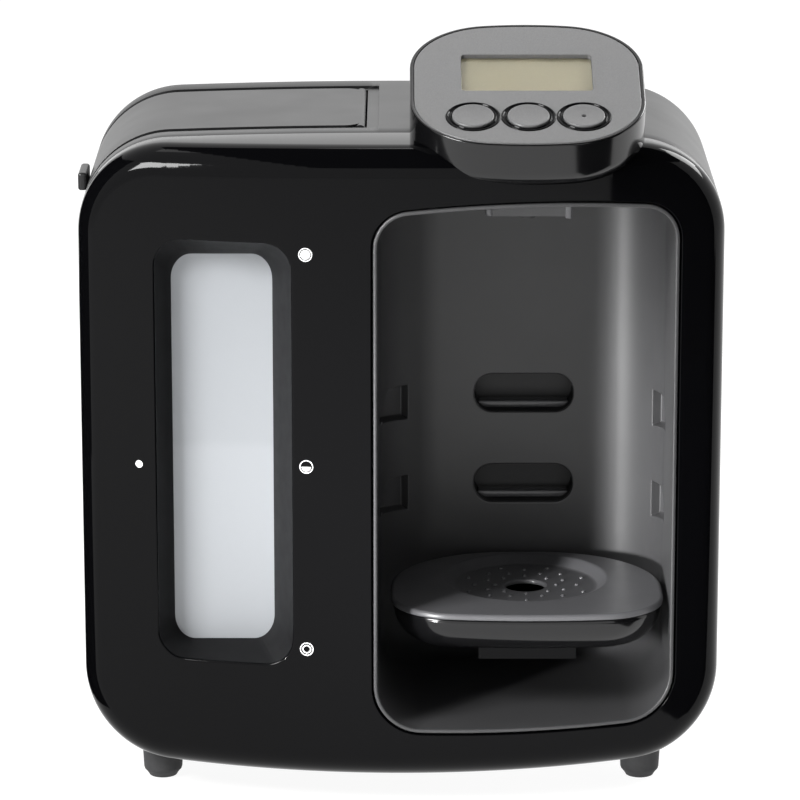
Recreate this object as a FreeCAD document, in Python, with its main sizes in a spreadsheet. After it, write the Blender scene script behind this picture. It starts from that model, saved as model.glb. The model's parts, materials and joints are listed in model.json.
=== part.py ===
"""Baby formula maker: a counter-top machine that filters, heats and pours water into a feeding bottle.

Frame: +Z up, +Y to the back, +X to the right seen from the front. The origin is on the table
under the middle of the machine. Lengths are millimetres.
"""
import FreeCAD, Part
import math
import os

import Sketcher
from FreeCAD import Placement, Rotation, Vector

doc = FreeCAD.newDocument("formula_maker")
sheet = doc.addObject("Spreadsheet::Sheet", "Sizes")


# ---------------------------------------------------------------------------------------------
# Driving dimensions
# ---------------------------------------------------------------------------------------------

class Size:
    """A length that carries its number and the sheet formula that gives it."""

    def __init__(self, number, formula):
        self.number = float(number)
        self.formula = formula

    def joined(self, other, sign, number, turned=False):
        first, last = (other.formula, self.formula) if turned else (self.formula, other.formula)
        return Size(number, f"({first} {sign} {last})")

    def __add__(self, other):
        other = as_size(other)
        return self.joined(other, "+", self.number + other.number)

    def __radd__(self, other):
        return as_size(other) + self

    def __sub__(self, other):
        other = as_size(other)
        return self.joined(other, "-", self.number - other.number)

    def __rsub__(self, other):
        return as_size(other) - self

    def __mul__(self, other):
        other = as_size(other)
        return self.joined(other, "*", self.number * other.number)

    def __rmul__(self, other):
        return as_size(other) * self

    def __truediv__(self, other):
        other = as_size(other)
        return self.joined(other, "/", self.number / other.number)

    def __neg__(self):
        return Size(-self.number, f"(0 - {self.formula})")


def as_size(value):
    """Lets plain counts and factors, such as 2 in width / 2, join a formula."""
    return value if isinstance(value, Size) else Size(value, str(value))


class Sizes:
    """The driving dimensions by name."""


s = Sizes()

# how many of each repeated feature
VENTS = 6
SLOTS = 3
PIP_RINGS = 4
PIP_RAYS = 8
BUTTONS = 3

DRIVING = {
    # casing
    "body_width": 280, "body_low": 14, "body_high": 296, "corner_radius": 41, "edge_bow_radius": 2800,
    "front_y": -77, "parting_y": -39, "back_y": 85, "bulge_radius": 364, "front_round": 13,
    "back_round": 4, "shell_wall": 2.6, "panel_gap": 0.2, "seat_gap": 0.3, "overlap": 2,
    "base_width": 184, "base_front_y": -18, "base_back_y": 66, "base_flange": 8,
    "base_flange_thick": 2, "base_screw_x": 60, "screw_radius": 1.5, "screw_head": 1.2,
    "cable_hole_size": 14, "cable_hole_y": -20,
    "vent_left": -100, "vent_width": 46, "vent_height": 4, "vent_pitch": 9, "vent_low": 130,
    "inlet_x": 72, "inlet_z": 30, "inlet_width": 26, "inlet_height": 19, "inlet_depth": 20,
    "inlet_pin_radius": 1.2, "inlet_pin_pitch": 8.6,
    # bottle bay
    "bay_left": -12.7, "bay_right": 120.3, "bay_low": 34.8, "bay_high": 272.4, "bay_wall": 3,
    "bay_top_radius": 17, "bay_low_radius": 22, "bay_bow_radius": 1500, "bay_back_y": 36,
    "bay_top_bow_radius": 500,
    "bay_back_round": 30, "pour_x": 55.6, "pour_y": -12,
    "slot_width": 44.5, "slot_height": 17.5, "slot_radius": 8, "slot_low_z": 75.5, "slot_pitch": 42.5,
    "slot_depth": 16, "slot_wall": 2, "slot_ledge": 5.6, "slot_lip": 5,
    "notch_depth": 1.8, "notch_height": 13.5, "notch_length": 22, "notch_front_y": 8,
    # water window and tank
    "window_left": -106.3, "window_right": -47.7, "window_low": 64.3, "window_high": 252.7,
    "window_radius": 15, "window_slope": 6, "window_flare": 3, "window_back_y": -47, "window_wall": 2.2,
    "pane_thick": 2, "pane_margin": 2,
    "tank_left": -133, "tank_right": -32, "tank_low": 32, "tank_high": 248, "tank_back_y": 70,
    "tank_wall": 2, "tank_round": 34, "outlet_y": 30, "outlet_rise": 12, "cradle_rail": 14,
    "cradle_web": 8, "filter_tray_thick": 2.5, "filter_tray_front": -22, "filter_y": 20,
    "filter_radius": 27, "filter_length": 62, "filter_cup_wall": 1.8, "filter_grip": 9,
    # tank lid
    "lid_right": -15.5, "lid_low": 262, "lid_front_y": -22.4, "lid_back_y": 63, "lid_wall": 3,
    "lid_frame_width": 5, "lid_frame_recess": 1, "lid_gap": 0.5, "lid_axis_depth": 2.4,
    "hinge_pin_radius": 1.1, "hinge_clearance": 0.05, "hinge_lug": 3, "frame_ledge": 3,
    "frame_ledge_thick": 1.8, "tab_round": 1.6, "tab_reach": 2.6, "tab_front_y": 0,
    "tab_width": 22, "tab_height": 8,
    # feet
    "foot_x": 107, "foot_front_y": -27, "foot_back_y": 60, "foot_radius": 9.3, "foot_tip_radius": 6.5,
    "foot_tip": 3, "foot_taper": 1,
    # bottle stand
    "plate_width": 120.5, "plate_front_y": -71, "plate_back_y": 28, "plate_high": 88,
    "plate_thick": 6, "plate_front_radius": 30, "plate_back_radius": 52, "plate_bow_radius": 300,
    "plate_edge_round": 1.8, "plate_lip": 2.6, "dish_radius": 37, "dish_floor_radius": 31, "dish_depth": 4,
    "drain_radius": 9, "pip_radius": 0.9, "pip_height": 0.5,
    "tray_low": 69, "tray_inset": 2, "tray_wall": 2, "tray_round": 13,
    "arm_width": 43, "arm_thick": 8, "arm_front_y": -48, "tongue_length": 18, "tongue_thick": 9,
    "tongue_width": 38, "riser_thick": 5.8, "pip_first_ring": 14.25, "pip_ring_step": 4.85,
    # control head
    "head_x": 54.1, "head_y": -37, "head_z": 317, "head_tilt": 20.3, "head_width": 101,
    "head_length": 101, "head_radius": 36, "head_bow_radius": 170, "head_depth": 24,
    "head_round": 10, "head_wall": 2.5, "face_inset": 1.8, "face_thick": 2,
    "lcd_width": 56.5, "lcd_height": 30, "lcd_y": 9.5, "lcd_radius": 2, "lens_thick": 1.2,
    "lcd_frame": 3, "button_y": -27.1, "button_pitch": 23.6, "button_radius": 9,
    "ring_radius": 11.7, "ring_gap": 0.4, "button_proud": 0.9, "button_travel": 0.8,
    "board_depth": 6, "board_thick": 1.5, "board_width": 74, "board_front": -31, "board_back": 31,
    "neck_front": 30, "ring_proud": 0.3, "post_x": 33.5, "post_front": -12, "post_back": 28,
    "post_radius": 2, "switch_height": 2, "switch_size": 6, "buzzer_radius": 6, "buzzer_height": 3,
    "buzzer_x": 0, "buzzer_y": 15,
    # water circuit
    "chassis_left": -24, "chassis_right": 118, "chassis_low": 60, "chassis_high": 276,
    "chassis_thick": 2.6, "clamp_wall": 2, "clamp_arm": 12, "clamp_height": 10,
    "spigot_seat": 3, "spigot_length": 6, "hose_lane_x": -19.5, "hose_lane_z": 284,
    "standoff": 4, "standoff_radius": 2.5, "power_left": -18, "power_width": 60, "power_low": 112,
    "power_height": 92, "transformer_size": 28, "transformer_depth": 16, "relay_size": 15,
    "boiler_x": 100, "boiler_y": 60, "boiler_radius": 16, "boiler_low": 70, "boiler_high": 160,
    "boiler_wall": 1.5, "cap_height": 8, "heater_radius": 3.2, "heater_spread": 8, "heater_room": 10,
    "thermostat_rise": 40, "fuse_rise": 16, "sensor_radius": 7, "sensor_height": 3,
    "pump_x": 16, "pump_y": 60, "pump_low": 40, "volute_radius": 16, "volute_height": 16,
    "volute_wall": 2, "motor_radius": 13, "motor_length": 34, "pump_shaft_radius": 1.2,
    "impeller_radius": 12, "impeller_thick": 5, "pump_cover": 2.5,
    "valve_z": 238, "valve_y": 59, "valve_width": 22, "valve_length": 26, "plunger_radius": 4,
    "plunger_travel": 2, "coil_length": 18, "spring_wire": 0.5, "hose_radius": 4, "hose_bore": 2.4,
    "spigot_radius": 2.3,
    "nozzle_width": 36, "nozzle_depth": 24, "nozzle_height": 12.8, "nozzle_radius": 5,
    "nozzle_tip_length": 3, "nozzle_tip_radius": 3, "nozzle_bore": 1.6, "nozzle_drop": 0.6,
}

for row, (alias, number) in enumerate(DRIVING.items(), start=1):
    sheet.set(f"A{row}", alias.replace("_", " "))
    sheet.set(f"B{row}", str(number))
    sheet.setAlias(f"B{row}", alias)
    setattr(s, alias, Size(number, f"Sizes.{alias}"))
doc.recompute()


# ---------------------------------------------------------------------------------------------
# Helpers
# ---------------------------------------------------------------------------------------------

def bind(item, path, size):
    """Ties one property of an object to the sheet."""
    item.setExpression(path, as_size(size).formula)


def place(item, x=0, y=0, z=0):
    bind(item, "Placement.Base.x", x)
    bind(item, "Placement.Base.y", y)
    bind(item, "Placement.Base.z", z)
    return item


def tilt_to_head(item):
    """Puts an object that is drawn flat about the face's centre onto the sloping head."""
    item.Placement = Placement(Vector(), Rotation(Vector(1, 0, 0), s.head_tilt.number))
    bind(item, "Placement.Rotation.Angle", s.head_tilt)
    return place(item, s.head_x, s.head_y, s.head_z)


def new_body(label):
    body = doc.addObject("PartDesign::Body", label)
    body.Label = label
    return body


def plane_of(body, role):
    return next(item for item in body.Origin.OriginFeatures if item.Role == role)


def new_sketch(body, role, offset):
    """A sketch on one of the body's own planes, moved along that plane's normal by offset."""
    sketch = body.newObject("Sketcher::SketchObject", f"{body.Label}_sketch")
    sketch.AttachmentSupport = [(plane_of(body, role), "")]
    sketch.MapMode = "FlatFace"
    bind(sketch, "AttachmentOffset.Base.z", offset)
    return sketch


def fix(sketch, kind, places, size):
    """Adds one dimension to a sketch and ties it to the sheet."""
    size = as_size(size)
    index = sketch.addConstraint(Sketcher.Constraint(kind, *places, size.number))
    sketch.setExpression(f"Constraints[{index}]", size.formula)


def draw_circle(sketch, x, y, radius):
    x, y, radius = as_size(x), as_size(y), as_size(radius)
    centre = Vector(x.number, y.number, 0)
    circle = sketch.addGeometry(Part.Circle(centre, Vector(0, 0, 1), radius.number))
    fix(sketch, "Radius", (circle,), radius)
    fix(sketch, "DistanceX", (-1, 1, circle, 3), x)
    fix(sketch, "DistanceY", (-1, 1, circle, 3), y)


def draw_polygon(sketch, points):
    """A closed outline of straight lines whose corners are all dimensioned."""
    corners = [(as_size(x), as_size(y)) for x, y in points]
    spots = [Vector(x.number, y.number, 0) for x, y in corners]
    lines = [sketch.addGeometry(Part.LineSegment(spots[i], spots[(i + 1) % len(spots)]))
             for i in range(len(spots))]
    for i, line in enumerate(lines):
        sketch.addConstraint(Sketcher.Constraint("Coincident", line, 2, lines[(i + 1) % len(lines)], 1))
    for line, (x, y) in zip(lines, corners):
        fix(sketch, "DistanceX", (-1, 1, line, 1), x)
        fix(sketch, "DistanceY", (-1, 1, line, 1), y)


def draw_bowed(sketch, left, right, low, high, low_radius, high_radius, low_bow, high_bow):
    """A rounded outline whose sides are straight and whose low and high edges swell outwards."""
    left, right, low, high = (as_size(v) for v in (left, right, low, high))
    low_radius, high_radius = as_size(low_radius), as_size(high_radius)
    low_bow, high_bow = as_size(low_bow), as_size(high_bow)
    middle = (left + right) / 2
    half = (right - left) / 2
    joins = []
    for sign, edge, radius, bow in ((1, high, high_radius, high_bow), (-1, low, low_radius, low_bow)):
        centre = Vector(middle.number, edge.number - sign * bow.number, 0)
        across = half.number - radius.number
        along = math.sqrt((bow.number - radius.number) ** 2 - across ** 2)
        spread = math.atan2(across, along)
        corner = {side: centre + Vector(side * across, sign * along, 0) for side in (1, -1)}
        up = sign * math.pi / 2
        big = Part.ArcOfCircle(Part.Circle(centre, Vector(0, 0, 1), bow.number), up - spread, up + spread)
        turn = math.pi / 2 - spread
        right_start, left_start = (0, math.pi / 2 + spread) if sign > 0 else (-turn, math.pi)
        arcs = {}
        for side, start in ((1, right_start), (-1, left_start)):
            circle = Part.Circle(corner[side], Vector(0, 0, 1), radius.number)
            arcs[side] = sketch.addGeometry(Part.ArcOfCircle(circle, start, start + turn))
            fix(sketch, "Radius", (arcs[side],), radius)
        arch = sketch.addGeometry(big)
        fix(sketch, "Radius", (arch,), bow)
        fix(sketch, "DistanceX", (-1, 1, arch, 3), middle)
        fix(sketch, "DistanceY", (-1, 1, arch, 3), edge - sign * bow)
        near, far = (1, -1) if sign > 0 else (-1, 1)
        sketch.addConstraint(Sketcher.Constraint("Tangent", arcs[near], 2, arch, 1))
        sketch.addConstraint(Sketcher.Constraint("Tangent", arch, 2, arcs[far], 1))
        joins.append((arcs, corner))
    (high_arcs, high_corner), (low_arcs, low_corner) = joins
    for side, edge in ((1, right), (-1, left)):
        top = Vector(edge.number, high_corner[side].y, 0)
        foot = Vector(edge.number, low_corner[side].y, 0)
        line = sketch.addGeometry(Part.LineSegment(foot, top))
        sketch.addConstraint(Sketcher.Constraint("Vertical", line))
        fix(sketch, "DistanceX", (-1, 1, line, 1), edge)
        sketch.addConstraint(Sketcher.Constraint("Tangent", line, 2, high_arcs[side], 1 if side > 0 else 2))
        sketch.addConstraint(Sketcher.Constraint("Tangent", line, 1, low_arcs[side], 2 if side > 0 else 1))


def draw_rounded(sketch, left, right, low, high, radius):
    """A rectangle with four equal round corners."""
    left, right, low, high, radius = (as_size(v) for v in (left, right, low, high, radius))
    x0, x1, y0, y1, r = (v.number for v in (left, right, low, high, radius))
    up = Vector(0, 0, 1)
    centres = [(x1 - r, y0 + r), (x1 - r, y1 - r), (x0 + r, y1 - r), (x0 + r, y0 + r)]
    arcs = []
    for turn, (x, y) in enumerate(centres):
        start = (turn - 1) * math.pi / 2
        arc = Part.ArcOfCircle(Part.Circle(Vector(x, y, 0), up, r), start, start + math.pi / 2)
        arcs.append(sketch.addGeometry(arc))
        fix(sketch, "Radius", (arcs[-1],), radius)
    ends = [(Vector(x1, y0 + r, 0), Vector(x1, y1 - r, 0)), (Vector(x1 - r, y1, 0), Vector(x0 + r, y1, 0)),
            (Vector(x0, y1 - r, 0), Vector(x0, y0 + r, 0)), (Vector(x0 + r, y0, 0), Vector(x1 - r, y0, 0))]
    dimensions = [("Vertical", "DistanceX", right), ("Horizontal", "DistanceY", high),
                  ("Vertical", "DistanceX", left), ("Horizontal", "DistanceY", low)]
    for turn, ((start, end), (level, kind, size)) in enumerate(zip(ends, dimensions)):
        line = sketch.addGeometry(Part.LineSegment(start, end))
        sketch.addConstraint(Sketcher.Constraint(level, line))
        fix(sketch, kind, (-1, 1, line, 1), size)
        sketch.addConstraint(Sketcher.Constraint("Tangent", arcs[turn], 2, line, 1))
        sketch.addConstraint(Sketcher.Constraint("Tangent", line, 2, arcs[(turn + 1) % 4], 1))


def pad(body, sketch, length, back=False):
    """Raises a sketch along its plane's normal, or against it with back."""
    feature = body.newObject("PartDesign::Pad", f"{body.Label}_pad")
    feature.Profile = sketch
    feature.Reversed = back
    bind(feature, "Length", length)
    sketch.Visibility = False
    doc.recompute()
    return feature


def round_edges(body, radius, chosen):
    """Fillets the edges of the body's last feature that chosen picks."""
    base = body.Tip
    names = [f"Edge{i}" for i, edge in enumerate(base.Shape.Edges, start=1) if chosen(edge)]
    feature = body.newObject("PartDesign::Fillet", f"{body.Label}_fillet")
    feature.Base = (base, names)
    bind(feature, "Radius", radius)
    doc.recompute()
    return feature


def lies_at(edge, axis, size):
    """True for an edge that lies wholly at one height along x, y or z."""
    box = edge.BoundBox
    low, high = {"x": (box.XMin, box.XMax), "y": (box.YMin, box.YMax), "z": (box.ZMin, box.ZMax)}[axis]
    return abs(low - size) < 0.01 and abs(high - size) < 0.01


def runs_along(edge, axis):
    """True for a straight edge parallel to x, y or z."""
    if not isinstance(edge.Curve, Part.Line):
        return False
    return abs(abs(edge.Curve.Direction.dot(axis)) - 1) < 1e-6


def box(label, x, y, z):
    """A block between two planes along each axis."""
    (x0, x1), (y0, y1), (z0, z1) = ([as_size(v) for v in pair] for pair in (x, y, z))
    item = doc.addObject("Part::Box", label)
    item.Label = label
    bind(item, "Length", x1 - x0)
    bind(item, "Width", y1 - y0)
    bind(item, "Height", z1 - z0)
    return place(item, x0, y0, z0)


TURNS = {"x": Rotation(Vector(0, 1, 0), 90), "y": Rotation(Vector(1, 0, 0), -90), "z": Rotation()}


def rod(label, axis, radius, start, end, x=0, y=0, z=0):
    """A round bar from start to end along an axis, with its centre line at the other two places."""
    item = doc.addObject("Part::Cylinder", label)
    item.Label = label
    item.Placement = Placement(Vector(), TURNS[axis])
    bind(item, "Radius", radius)
    bind(item, "Height", as_size(end) - start)
    spot = {"x": x, "y": y, "z": z, axis: start}
    return place(item, spot["x"], spot["y"], spot["z"])


def cone(label, low_radius, high_radius, low, high, x, y):
    item = doc.addObject("Part::Cone", label)
    item.Label = label
    bind(item, "Radius1", low_radius)
    bind(item, "Radius2", high_radius)
    bind(item, "Height", as_size(high) - low)
    return place(item, x, y, low)


def fuse(label, *items):
    item = doc.addObject("Part::MultiFuse", label)
    item.Label = label
    item.Shapes = list(items)
    item.Refine = True
    doc.recompute()
    return item


def cut(label, base, *tools):
    tool = tools[0] if len(tools) == 1 else fuse(f"{label}_cutter", *tools)
    item = doc.addObject("Part::Cut", label)
    item.Label = label
    item.Base = base
    item.Tool = tool
    doc.recompute()
    return item


def carve(label, base, tool):
    """Takes one shape from another where a tilted piece meets the bulged casing."""
    item = doc.addObject("Part::Feature", label)
    item.Label = label
    item.Shape = base.Shape.cut(tool.Shape)
    return item


def common(label, first, second):
    item = doc.addObject("Part::MultiCommon", label)
    item.Label = label
    item.Shapes = [first, second]
    doc.recompute()
    return item


def group(label, *items):
    """Loose solids of one kind that share a node."""
    item = doc.addObject("Part::Compound", label)
    item.Label = label
    item.Links = list(items)
    doc.recompute()
    return item


def tube(label, points, radius, bore):
    """A hose: straight runs joined by tangent arcs, hollow from end to end."""
    spots = [Vector(*(as_size(v).number for v in point)) for point in points]
    edges = []
    start = spots[0]
    for before, here, after in zip(spots, spots[1:], spots[2:]):
        inward = (before - here).normalize()
        outward = (after - here).normalize()
        half_turn = (math.pi - inward.getAngle(outward)) / 2
        shorter = min((before - here).Length, (after - here).Length)
        reach = 0.45 * shorter
        bend = reach / math.tan(half_turn)
        first = here + inward * reach
        last = here + outward * reach
        centre_line = (inward + outward).normalize()
        centre = here + centre_line * math.hypot(reach, bend)
        crest = centre - centre_line * bend
        edges.append(Part.LineSegment(start, first).toShape())
        edges.append(Part.Arc(first, crest, last).toShape())
        start = last
    edges.append(Part.LineSegment(start, spots[-1]).toShape())
    path = Part.Wire(edges)
    heading = spots[1] - spots[0]
    solids = []
    for size in (radius, bore):
        ring = Part.Wire([Part.Circle(spots[0], heading, as_size(size).number).toShape()])
        solids.append(path.makePipeShell([ring], True, True))
    item = doc.addObject("Part::Feature", label)
    item.Label = label
    item.Shape = solids[0].cut(solids[1])
    return item


def outline_body(label, inset, near, far):
    """The machine's outline, inset all round, from one depth to another."""
    body = new_body(label)
    sketch = new_sketch(body, "XZ_Plane", -as_size(far))
    radius = s.corner_radius - inset
    bow = s.edge_bow_radius - inset
    half = s.body_width / 2 - inset
    draw_bowed(sketch, -half, half, s.body_low + inset, s.body_high - inset, radius, radius, bow, bow)
    pad(body, sketch, as_size(far) - near)
    return body


def front_waste(label, inset, sides):
    """All that lies in front of the bulged front face, moved back by inset."""
    body = new_body(label)
    sketch = new_sketch(body, "XY_Plane", as_size(0))
    radius = s.bulge_radius - inset
    half = s.body_width / 2 + sides
    crest = s.front_y + inset
    centre_y = crest + radius
    drop = radius.number - math.sqrt(radius.number ** 2 - half.number ** 2)
    spread = math.asin(half.number / radius.number)
    circle = Part.Circle(Vector(0, centre_y.number, 0), Vector(0, 0, 1), radius.number)
    arc = sketch.addGeometry(Part.ArcOfCircle(circle, -math.pi / 2 - spread, -math.pi / 2 + spread))
    fix(sketch, "Radius", (arc,), radius)
    fix(sketch, "DistanceX", (-1, 1, arc, 3), 0)
    fix(sketch, "DistanceY", (-1, 1, arc, 3), centre_y)
    ahead = s.front_y * 2
    left_end = Vector(-half.number, crest.number + drop, 0)
    right_end = Vector(half.number, crest.number + drop, 0)
    left_out = Vector(-half.number, ahead.number, 0)
    right_out = Vector(half.number, ahead.number, 0)
    right_line = sketch.addGeometry(Part.LineSegment(right_end, right_out))
    front_line = sketch.addGeometry(Part.LineSegment(right_out, left_out))
    left_line = sketch.addGeometry(Part.LineSegment(left_out, left_end))
    loop = [(arc, 2, right_line, 1), (right_line, 2, front_line, 1),
            (front_line, 2, left_line, 1), (left_line, 2, arc, 1)]
    for places in loop:
        sketch.addConstraint(Sketcher.Constraint("Coincident", *places))
    sketch.addConstraint(Sketcher.Constraint("Vertical", right_line))
    sketch.addConstraint(Sketcher.Constraint("Vertical", left_line))
    sketch.addConstraint(Sketcher.Constraint("Horizontal", front_line))
    fix(sketch, "DistanceX", (-1, 1, right_line, 1), half)
    fix(sketch, "DistanceX", (-1, 1, left_line, 1), -half)
    fix(sketch, "DistanceY", (-1, 1, front_line, 1), ahead)
    pad(body, sketch, s.body_high * 2)
    return body


def bulged_block(label, inset, far):
    """The machine's outline with its bulged and rounded front, moved in all round by inset."""
    prism = outline_body(f"{label}_prism", inset, s.front_y + inset - s.overlap, far)
    blank = cut(f"{label}_blank", prism, front_waste(f"{label}_waste", inset, s.overlap * 2))
    item = doc.addObject("Part::Fillet", label)
    item.Label = label
    item.Base = blank
    radius = (s.front_round - inset).number
    face = next(f for f in blank.Shape.Faces
                if isinstance(f.Surface, Part.Cylinder) and f.Surface.Radius > 300
                and abs(f.Surface.Axis.z) > 0.9)
    rim = [i for i, edge in enumerate(blank.Shape.Edges, start=1)
           if any(edge.isSame(other) for other in face.Edges)]
    item.Edges = [(i, radius, radius) for i in rim]
    doc.recompute()
    return item


def sheet_block(label, plan, low, high):
    """A plate drawn in plan by the given function and raised from one height to another."""
    body = new_body(label)
    sketch = new_sketch(body, "XY_Plane", low)
    plan(sketch)
    pad(body, sketch, as_size(high) - low)
    return body


def wall_block(label, left, right, low, high, radius, near, far):
    """A block with four round corners as seen from the front."""
    body = new_body(label)
    sketch = new_sketch(body, "XZ_Plane", -as_size(far))
    draw_rounded(sketch, left, right, low, high, radius)
    pad(body, sketch, as_size(far) - near)
    return body


PIECES = []


def keep(label, item):
    """Names a finished piece and puts it on the list of those that are written out."""
    item.Label = label
    PIECES.append(item)
    return item


# ---------------------------------------------------------------------------------------------
# Casing: front fascia, rear housing, base plate and feet
# ---------------------------------------------------------------------------------------------

half_width = s.body_width / 2
housing_inner_y = s.back_y - s.shell_wall
frame_right = s.lid_right + s.lid_gap + s.lid_frame_width
frame_front = s.lid_front_y - s.lid_gap - s.lid_frame_width
frame_back = s.lid_back_y + s.lid_gap + s.lid_frame_width
frame_low = s.lid_low - s.lid_gap - s.lid_frame_width
well_above = s.body_high + s.overlap * 3
well_left = -half_width - s.overlap * 3
cable_hole = ((s.head_x - s.cable_hole_size / 2, s.head_x + s.cable_hole_size / 2),
              (s.cable_hole_y - s.cable_hole_size / 2, s.cable_hole_y + s.cable_hole_size / 2))
screw_low = s.body_low + s.base_screw_x * s.base_screw_x / (2 * s.edge_bow_radius) - s.panel_gap / 2


def window_funnel(label, grow):
    """The sloping sides of the water window, widest at the front."""
    body = new_body(label)
    sections = []
    for depth, inset in ((s.front_y, -s.window_flare), (s.window_back_y, s.window_slope)):
        inset = inset - grow
        sketch = new_sketch(body, "XZ_Plane", -depth)
        draw_rounded(sketch, s.window_left + inset, s.window_right - inset,
                     s.window_low + inset, s.window_high - inset, s.window_radius - inset)
        sections.append(sketch)
    doc.recompute()
    loft = body.newObject("PartDesign::AdditiveLoft", f"{label}_loft")
    loft.Profile = sections[0]
    loft.Sections = [sections[1]]
    loft.Ruled = True
    doc.recompute()
    return body


def bay_prism(label, inset, near, far):
    """The bay's outline seen from the front, inset all round."""
    body = new_body(label)
    sketch = new_sketch(body, "XZ_Plane", -as_size(far))
    draw_bowed(sketch, s.bay_left + inset, s.bay_right - inset, s.bay_low + inset, s.bay_high - inset,
               s.bay_low_radius - inset, s.bay_top_radius - inset,
               s.bay_bow_radius - inset, s.bay_top_bow_radius - inset)
    pad(body, sketch, as_size(far) - near)
    return body


def front_fascia():
    outer = bulged_block("fascia_outer", as_size(0), s.parting_y)
    inner = bulged_block("fascia_inner", s.shell_wall, s.parting_y)
    shell = cut("fascia_shell", outer, inner)
    funnel = window_funnel("funnel_outer", s.window_wall)
    waste = front_waste("funnel_waste", s.overlap / 10, s.overlap * 2)
    solid = fuse("fascia_solid", shell, cut("funnel_trimmed", funnel, waste))
    mouth = bay_prism("bay_hole", -s.panel_gap, s.front_y - s.overlap, s.parting_y + s.overlap)
    keep("front_fascia", cut("front_fascia", solid, window_funnel("funnel_hole", as_size(0)), mouth))


def frame_region(label, grow):
    """The rounded top-left stretch of the casing that the tank lid and its frame take up."""
    return box(label, (well_left, frame_right + grow), (frame_front - grow, frame_back + grow),
               (frame_low - grow, well_above))


def base_region(label, grow, low, high):
    return box(label, (-s.base_width / 2 - grow, s.base_width / 2 + grow),
               (s.base_front_y - grow, s.base_back_y + grow), (low, high))


def base_screw_places():
    flange = s.base_flange / 2
    for x in (-s.base_screw_x, s.base_screw_x):
        for y in (s.base_front_y - flange, s.base_back_y + flange):
            yield x, y


def rear_housing():
    outer = outline_body("housing_outer", as_size(0), s.parting_y, s.back_y)
    round_edges(outer, s.back_round, lambda edge: lies_at(edge, "y", s.back_y.number))
    inner = outline_body("housing_inner", s.shell_wall, s.parting_y - s.overlap, housing_inner_y)
    top_hole = box("cable_hole", *cable_hole, (s.body_high - s.shell_wall * 2, well_above))
    inlet_hole = box("inlet_hole", (s.inlet_x - s.panel_gap, s.inlet_x + s.inlet_width + s.panel_gap),
                     (housing_inner_y - s.overlap, s.back_y + s.overlap),
                     (s.inlet_z - s.panel_gap, s.inlet_z + s.inlet_height + s.panel_gap))
    vents = []
    for i in range(VENTS):
        low = s.vent_low + s.vent_pitch * i
        vents.append(wall_block(f"vent_{i}", s.vent_left, s.vent_left + s.vent_width, low,
                                low + s.vent_height, s.vent_height / 2 - s.overlap / 10,
                                housing_inner_y - s.overlap, s.back_y + s.overlap))
    holes = [rod(f"base_hole_{i}", "z", s.screw_radius + s.panel_gap, s.body_low - s.overlap,
                 s.body_low + s.shell_wall * 3, x=x, y=y)
             for i, (x, y) in enumerate(base_screw_places())]
    opening = base_region("base_opening", s.panel_gap, s.body_low - s.overlap, s.body_low + s.shell_wall * 3)
    keep("rear_housing", cut("rear_housing", outer, inner, frame_region("lid_opening", s.panel_gap),
                             opening, top_hole, inlet_hole, *vents, *holes))


def base_plate():
    """The service plate: a plug that fills the opening and a flange that lies inside the casing."""
    high = s.body_low + s.shell_wall * 4
    ring = cut("base_ring", outline_body("base_ring_outer", as_size(0), s.parting_y, s.back_y),
               outline_body("base_ring_inner", s.shell_wall + s.base_flange_thick,
                            s.parting_y - s.overlap, s.back_y + s.overlap))
    plug = common("base_plug", ring,
                  base_region("base_plug_region", as_size(0), s.body_low - s.overlap, high))
    upper = cut("flange_ring", outline_body("flange_ring_outer", s.shell_wall, s.parting_y, s.back_y),
                outline_body("flange_ring_inner", s.shell_wall + s.base_flange_thick,
                             s.parting_y - s.overlap, s.back_y + s.overlap))
    flange = common("base_flange_ring", upper,
                    base_region("base_flange_region", s.base_flange, s.body_low - s.overlap, high))
    holes = [rod(f"plate_hole_{i}", "z", s.screw_radius, s.body_low - s.overlap, high, x=x, y=y)
             for i, (x, y) in enumerate(base_screw_places())]
    keep("base_plate", cut("base_plate", fuse("base_plate_solid", plug, flange), *holes))
    screws = []
    for i, (x, y) in enumerate(base_screw_places()):
        shank_top = screw_low + s.shell_wall + s.base_flange_thick
        head = rod(f"base_screw_head_{i}", "z", s.screw_radius * 2, screw_low - s.screw_head, screw_low,
                   x=x, y=y)
        shank = rod(f"base_screw_shank_{i}", "z", s.screw_radius, screw_low - s.screw_head, shank_top,
                    x=x, y=y)
        screws.append(fuse(f"base_screw_{i}", head, shank))
    keep("base_screws", group("base_screws", *screws))


def feet():
    pads = []
    casing = outline_body("foot_casing", as_size(0), s.parting_y - s.overlap * 20, s.back_y + s.overlap)
    for i, x in enumerate((-s.foot_x, s.foot_x)):
        for j, y in enumerate((s.foot_front_y, s.foot_back_y)):
            tip = cone(f"foot_tip_{i}{j}", s.foot_tip_radius, s.foot_radius - s.foot_taper, as_size(0),
                       s.foot_tip, x, y)
            stem = cone(f"foot_stem_{i}{j}", s.foot_radius - s.foot_taper, s.foot_radius, s.foot_tip,
                        s.body_low + s.overlap * 3, x, y)
            pads.append(fuse(f"foot_{i}{j}", tip, stem))
    keep("feet", cut("feet", group("feet_blank", *pads), casing))


# ---------------------------------------------------------------------------------------------
# Bottle bay: liner with three slots for the stand, and the nozzle in its ceiling
# ---------------------------------------------------------------------------------------------

def slot_low(level):
    return s.slot_low_z - s.slot_height / 2 + s.slot_pitch * level


def bay_block(label, inset, near, far, back_round):
    """A bay-shaped block whose upright back corners are widely rounded."""
    def plan(sketch):
        draw_rounded(sketch, s.bay_left + inset, s.bay_right - inset, s.front_y * 2, far, back_round)
    upright = sheet_block(f"{label}_plan", plan, s.bay_low - s.overlap, s.bay_high + s.overlap)
    return common(label, bay_prism(f"{label}_front", inset, near, far + s.overlap), upright)


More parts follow.
